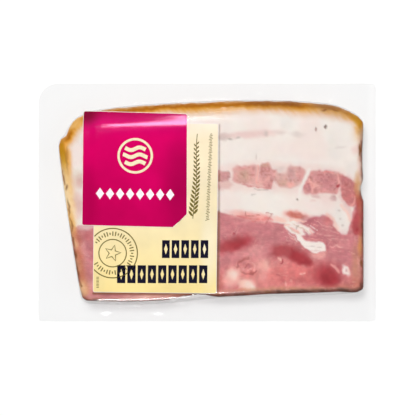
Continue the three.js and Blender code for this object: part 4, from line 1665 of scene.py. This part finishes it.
class Press:
    """Prints flat shapes of ink on a label, about the label's own middle, in millimetres."""

    INK_MM = 0.05

    def __init__(self, label: LabelSheet) -> None:
        """Takes the label to print on."""
        self.label = label
        self.shapes: list[bpy.types.Object] = []

    def local(self, x: float, y: float) -> tuple[float, float]:
        """Turns a place on the part to one about the label's middle, both in millimetres."""
        spot = self.label.place().inverted() @ Vector((x * MM, y * MM, 0))
        return spot.x / MM, spot.y / MM

    @staticmethod
    def arc(middle: tuple[float, float], radius: float, angles: Sequence[float]) -> list[tuple[float, float]]:
        """Gives the points of a circle, in millimetres, at some angles, in radians."""
        return [(middle[0] + radius * math.cos(a), middle[1] + radius * math.sin(a)) for a in angles]

    def polygon(self, points: Sequence[tuple[float, float]]) -> None:
        """Prints a filled shape.

        Args:
            points: Its corners in order, in millimetres.
        """
        deselect_all()
        bpy.ops.mesh.primitive_circle_add(vertices=len(points), radius=MM, fill_type="NGON")
        shape = bpy.context.object
        for vertex, (x, y) in zip(shape.data.vertices, points):
            vertex.co = (x * MM, y * MM, 0)
        self.shapes.append(shape)

    def stroke(self, points: Sequence[tuple[float, float]], width: float, closed: bool = False) -> None:
        """Prints a line of even width, extruded from point to point.

        Args:
            points: The line's points, in millimetres.
            width: Its width.
            closed: Whether it ends where it starts.
        """
        line = np.array(points, dtype=float)
        if closed:
            ahead, behind = np.roll(line, -1, axis=0), np.roll(line, 1, axis=0)
        else:
            ahead, behind = np.vstack((line[1:], line[-1:])), np.vstack((line[:1], line[:-1]))
        way = ahead - behind
        way /= np.linalg.norm(way, axis=1)[:, None]
        side = np.column_stack((-way[:, 1], way[:, 0])) * width / 2
        sides = [(p + s, p - s) for p, s in zip(line, side)]
        if closed:
            sides.append(sides[0])
        deselect_all()
        bpy.ops.mesh.primitive_plane_add(size=MM)
        shape = bpy.context.object
        with editing(shape) as mesh:
            corners = sorted(mesh.verts, key=lambda v: (v.co.y, v.co.x))
            for vertex, spot in zip(corners, (*sides[0], *sides[1])):
                vertex.co = (*(spot * MM), 0)
            bpy.ops.mesh.select_all(action="DESELECT")
            for edge in mesh.edges:
                edge.select = set(edge.verts) == set(corners[2:])
            mesh.select_flush(True)
            end = [v.co.copy() for v in corners[2:]]
            for first, second in sides[2:]:
                bpy.ops.mesh.extrude_edges_move()
                mesh = bmesh.from_edit_mesh(shape.data)
                chosen = [v for v in mesh.verts if v.select]
                chosen.sort(key=lambda v: (v.co - end[0]).length)
                for vertex, spot in zip(chosen, (first, second)):
                    vertex.co = (*(spot * MM), 0)
                end = [Vector((*(first * MM), 0)), Vector((*(second * MM), 0))]
            bpy.ops.mesh.select_all(action="SELECT")
            bpy.ops.mesh.remove_doubles(threshold=0.005 * MM)
        self.shapes.append(shape)

    def finish(self, name: str, ink: bpy.types.Material, slot: str) -> bpy.types.Object:
        """Joins all that was printed so far in one ink and lays it on the label.

        Args:
            name: Name of the piece.
            ink: Its material.
            slot: Not used.

        Returns:
            The printed piece.
        """
        deselect_all()
        for shape in self.shapes:
            shape.select_set(True)
        bpy.context.view_layer.objects.active = self.shapes[0]
        if len(self.shapes) > 1:
            bpy.ops.object.join()
        piece = bpy.context.object
        piece.name = name
        self.shapes = []
        with editing(piece):
            bpy.ops.mesh.select_all(action="SELECT")
            bpy.ops.mesh.normals_make_consistent(inside=False)
        with editing(piece) as mesh:
            for face in mesh.faces:
                if face.normal.z < 0:
                    face.normal_flip()
            place = self.label.place()
            for vertex in mesh.verts:
                vertex.co = place @ vertex.co
                vertex.co.z = self.label.top
        apply_modifier(piece, "SOLIDIFY", thickness=self.INK_MM * MM, offset=1)
        finish_piece(piece, ink, 30)
        return piece


@dataclass
class Labels:
    """The cream label and the magenta panel, printed with plain shapes."""

    form: PouchForm
    cream: LabelSheet = field(init=False)
    panel: LabelSheet = field(init=False)

    def __post_init__(self) -> None:
        """Sizes both labels, the panel lying on the cream one."""
        self.cream = LabelSheet("cream_paper_label", "cream_label", turn_deg=-0.65)
        self.panel = LabelSheet(
            "magenta_laminated_panel",
            "magenta_panel",
            turn_deg=-1.0,
            cut_corner_mm=(7.6, 7.3),
            lies_on=self.cream,
            pulls_mm=((-0.9, 0.85), (0, 0.1), (-0.5, -0.6), (0.9, -1.0)),
        )

    def build(self) -> None:
        """Models both labels and prints them."""
        bare = Ink("uncoated_paper_edge", "FBF3EE", 0.6).build()
        cream_print = VarnishedPaper(
            "cream_print_under_satin_varnish",
            ((0, "F8DF92"), (0.4, "F7E5B4"), (0.66, "F6E5C1"), (0.9, "FAE8C5"), (1, "FCECD7")),
            (Shade((-62, -42), (16, 26), "ECD898", 0.7), Shade((1, -25), (14, 64), "F6ECD0", 0.6)),
            roughness=0.42,
            specular=0.2,
        )
        # The panel's run and ovals are painted shade and painted light: darker at its foot, its top and both
        # sides, darkest at the upper left corner where the sheet bends away, and lighter in the middle.
        panel_print_and_painted_shade = VarnishedPaper(
            "magenta_print_and_painted_shade_under_gloss_laminate",
            ((0, "C80057"), (0.3, "CC0059"), (0.78, "DE0064"), (0.92, "D6006A"), (1, "B80050")),
            (
                Shade((-68, 50), (24, 22), "80002C", 1.0),
                Shade((-67, 0), (20, 60), "B0004A", 0.7),
                Shade((-12, 8), (38, 78), "A80049", 0.8),
                Shade((-34, 8), (26, 34), "E20068", 0.4),
            ),
            roughness=0.13,
            specular=0.5,
            sheen="FFC4EE",
        )
        for sheet, finish, slot in (
            (self.cream, cream_print, "label_cream"),
            (self.panel, panel_print_and_painted_shade, "label_magenta"),
        ):
            piece = sheet.build(self.form)
            low = (sheet.centre.y - sheet.height / 2) / MM
            high = (sheet.centre.y + sheet.height / 2) / MM
            finish_piece(piece, finish.build(low, high), 30)
            piece.data.materials.append(bare)
            margin = piece.data.attributes["margin"].data
            for face in piece.data.polygons:
                face.material_index = int(margin[face.index].value or abs(face.normal.z) < 0.5)
            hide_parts(sheet.node)
        self.print_panel()
        self.print_cream()

    def print_panel(self) -> None:
        """Prints a round badge of wavy rashers and a row of lozenges on the magenta panel."""
        press = Press(self.panel)
        cream_ink = Ink("cream_screen_ink", "F8E9C6").build()
        white_ink = Ink("white_screen_ink", "FFF4FA").build()
        middle = press.local(-39.8, 25.8)
        angles = np.linspace(0, 2 * math.pi, 72, endpoint=False)
        press.stroke(press.arc(middle, 9.2, angles), 1.3, closed=True)
        for row in (-3.9, 0.0, 3.9):
            half = math.sqrt(7.4**2 - row**2) - 0.6
            wave = [
                (middle[0] + x, middle[1] + row + 0.8 * math.sin(x / 1.55))
                for x in np.linspace(-half, half, 36)
            ]
            press.stroke(wave, 2.1)
        press.finish("badge_print", cream_ink, "label_cream")
        start, level = press.local(-62.2, 5.0)
        for i in range(8):
            x = start + 2.9 + i * 5.55
            press.polygon([(x - 2.3, level), (x, level - 3.2), (x + 2.3, level), (x, level + 3.2)])
        press.finish("lozenge_print", white_ink, "label_cream")

    def print_cream(self) -> None:
        """Prints two rows of blocks, a ring seal, a sprig and a column of small bars on the cream label."""
        press = Press(self.cream)
        navy = Ink("navy_offset_ink", "090422").build()
        olive = Ink("olive_offset_ink", "75672E").build()
        for left, right, low, count in ((-25.0, 1.7, -30.8, 5), (-49.9, 1.2, -44.7, 9)):
            step = (right - left) / count
            half, tall = (step - 1.1) / 2, 9.9
            for i in range(count):
                x, y = press.local(left + i * step, low)
                for edge, way in ((x, 1), (x + 2 * half, -1)):
                    inner, notch = edge + way * half, edge + way * (half - 1.0)
                    press.polygon(
                        [
                            (edge, y), (inner, y), (inner, y + 1.9), (notch, y + tall / 2),
                            (inner, y + tall - 1.9), (inner, y + tall), (edge, y + tall),
                        ]
                    )
        press.finish("navy_block_print", navy, "label_cream")
        self.print_seal(press)
        self.print_sprig(press)
        for i in range(8):
            x, y = press.local(-60.6, -47.2 + i * 0.8)
            press.polygon([(x - 0.7, y), (x + 0.7, y), (x + 0.7, y + 0.35), (x - 0.7, y + 0.35)])
        press.finish("olive_line_print", olive, "label_cream")

    @staticmethod
    def print_sprig(press: Press) -> None:
        """Prints a sprig of herbs and a row of slanting ticks up the label's right side.

        Args:
            press: The cream label's press.
        """
        low, high = -9.0, 38.0
        heights = np.linspace(low, high, 40)
        stem = [press.local(-7.4 + 0.05 * (y - low) + 0.5 * math.sin(y / 7), y) for y in heights]
        press.stroke(stem, 0.4)
        for i in range(34):
            x, y = stem[1 + i]
            way, reach = (-1, 1)[i % 2], 2.6 - 0.035 * i
            leaf = ((0, 0), (0.5, 0.25), (0.9, 0.8), (1, 1.5), (0.45, 1.1), (0.1, 0.5))
            press.polygon([(x + way * reach * a, y + 0.85 * reach * b) for a, b in leaf])
        for i in range(52):
            x, y = press.local(0.2 + 0.04 * i, -9.6 + 0.93 * i)
            reach = (1.1, 0.7, 0.9, 0.5)[i % 4]
            press.stroke(((x - reach, y - 0.35 * reach), (x + reach, y + 0.35 * reach)), 0.36)

    def print_seal(self, press: Press) -> None:
        """Prints a ring seal that runs off the label's left edge, with ticks and a star in it.

        Args:
            press: The cream label's press.
        """
        middle = press.local(-52.3, -28.1)
        edge = -self.cream.width / 2 / MM + 0.5
        for radius, width in ((13.7, 0.62), (7.6, 0.58)):
            ring = press.arc(middle, radius, np.linspace(-math.pi, math.pi, 121))
            kept = [p for p in ring if p[0] > edge]
            press.stroke(kept, width, closed=len(kept) == len(ring))
        for i in range(44):
            angle = 2 * math.pi * i / 44
            inner, outer = (9.6, 12.0) if i % 3 else (10.2, 11.4)
            ends = [press.arc(middle, radius, (angle,))[0] for radius in (inner, outer)]
            if min(end[0] for end in ends) > edge:
                press.stroke(ends, 0.62)
        star = [
            (
                middle[0] + r * math.sin(math.pi * i / 5 + 0.25),
                middle[1] + r * math.cos(math.pi * i / 5 + 0.25),
            )
            for i, r in enumerate((4.6, 1.9) * 5)
        ]
        press.stroke(star, 0.62, closed=True)


@dataclass(frozen=True)
class Softbox:
    """A rectangular studio light.

    Args:
        name: Name of the light.
        place: Where it stands, in metres.
        size: Its width and height, in metres.
        watts: Its power.
        mirrored: Whether it only shows in glossy surfaces. The others are polarised out of them.
    """

    name: str
    place: tuple[float, float, float]
    size: tuple[float, float]
    watts: float
    mirrored: bool = False

    def build(self) -> None:
        """Adds the light, aimed at the part."""
        bpy.ops.object.light_add(type="AREA", location=self.place)
        light = bpy.context.object
        light.name = self.name
        light.data.shape = "RECTANGLE"
        light.data.size, light.data.size_y = self.size
        light.data.energy = self.watts
        light.visible_glossy, light.visible_diffuse = self.mirrored, not self.mirrored
        light.rotation_euler = (-Vector(self.place)).to_track_quat("-Z", "Y").to_euler()


@dataclass
class Studio:
    """The pale floor, the soft light and the camera straight above the pack.

    Args:
        camera_height: Height of the camera, in metres.
        view_width: Width of the floor that the camera sees, in metres.
        pack_centre_px: Where the middle of the pack lies in the photograph.
        floor_glow: How strongly the pale floor is lit from below.
    """

    SENSOR_MM, SEEN_TO = 36, 20
    FLOOR_SIZE, FLOOR_GAP = 8, 0.3 * MM

    camera_height: float = 1.0
    view_width: float = 0.23454
    pack_centre_px: tuple[float, float] = (207.1, 202.5)
    floor_glow: float = 0.585

    def build(self) -> None:
        """Sets up the floor, the lights, the world and the camera."""
        scene = bpy.context.scene
        scene.view_settings.view_transform = "Standard"
        self.add_floor()
        for light in (
            Softbox("overhead_softbox", (-0.16, 0.44, 1.6), (0.45, 0.45), 21.0),
            Softbox("key_softbox", (-0.6, 0.7, 1.2), (0.7, 0.7), 2.2),
            Softbox("right_softbox", (1.0, -0.3, 1.2), (0.7, 0.7), 1.8),
            Softbox("shoulder_strip", (-0.062, 0.42, 1.25), (0.16, 0.22), 2.7, mirrored=True),
            Softbox("rim_strip", (0.002, 0.9, 1.1), (0.05, 0.5), 1.4, mirrored=True),
            Softbox("foot_strip", (-0.075, -0.6, 1.2), (0.2, 0.3), 17.0, mirrored=True),
        ):
            light.build()
        self.add_world(scene)
        self.add_camera(scene)

    def add_floor(self) -> None:
        """Lays the white floor."""
        deselect_all()
        bpy.ops.mesh.primitive_plane_add(size=self.FLOOR_SIZE, location=(0, 0, -self.FLOOR_GAP))
        floor = bpy.context.object
        floor.name = "white_sweep"
        bpy.ops.object.transform_apply(location=True, rotation=False, scale=False)
        finish = Finish("backlit_white_acrylic")
        face = finish.add("ShaderNodeBsdfDiffuse", {}, {"Color": srgb("B3B3B3")})
        glow = finish.add("ShaderNodeEmission", {}, {"Color": srgb("FFFFFF"), "Strength": self.floor_glow})
        both = finish.done("ShaderNodeAddShader", {0: face.outputs[0], 1: glow.outputs[0]})
        floor.data.materials.append(both)

    def add_world(self, scene: bpy.types.Scene) -> None:
        """Lights the studio's white walls and leaves the ceiling above the camera dark.

        Args:
            scene: The scene.
        """
        world = bpy.data.worlds.new("white_studio")
        world.use_nodes = True
        tree = world.node_tree
        tree.nodes.clear()
        way = add_node(tree, "ShaderNodeTexCoord").outputs["Generated"]
        up = add_node(tree, "ShaderNodeSeparateXYZ", {}, {0: way}).outputs["Z"]
        light = add_node(
            tree,
            "ShaderNodeMapRange",
            {"interpolation_type": "SMOOTHSTEP"},
            {"Value": up, "From Min": 0.8, "From Max": 0.95, "To Min": 0.24, "To Max": 0.02},
        )
        background = add_node(
            tree, "ShaderNodeBackground", {}, {"Color": srgb("FFFFFF"), "Strength": light.outputs["Result"]}
        )
        add_node(tree, "ShaderNodeOutputWorld", {}, {"Surface": background.outputs[0]})
        scene.world = world

    def add_camera(self, scene: bpy.types.Scene) -> None:
        """Hangs the camera straight above the pack, framed as in the photograph.

        Args:
            scene: The scene.
        """
        pixel = self.view_width / PHOTO_PX
        x = (PHOTO_PX / 2 - self.pack_centre_px[0]) * pixel
        y = (self.pack_centre_px[1] - PHOTO_PX / 2) * pixel
        bpy.ops.object.camera_add(location=(x, y, self.camera_height), rotation=(0, 0, 0))
        camera = bpy.context.object
        camera.data.sensor_width = self.SENSOR_MM
        camera.data.lens = self.SENSOR_MM * self.camera_height / self.view_width
        camera.data.clip_end = self.SEEN_TO
        scene.camera = camera


def main() -> None:
    """Builds the studio and the pack, sub-assembly by sub-assembly."""
    logging.basicConfig(level=logging.INFO, format="%(message)s")
    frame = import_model()
    Studio().build()
    pouch = frame["nodes"]["sealed_pouch"]
    form = PouchForm(pouch)
    slab = Slab(form).build()
    finish_piece(slab, CuredPork().build(), 60)
    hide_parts("sealed_pouch")
    film = VacuumFilm(form).build()
    finish_piece(film, BarrierFilm().build(), 50)
    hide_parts("sealed_pouch")
    Labels(form).build()


if __name__ == "__main__":
    main()
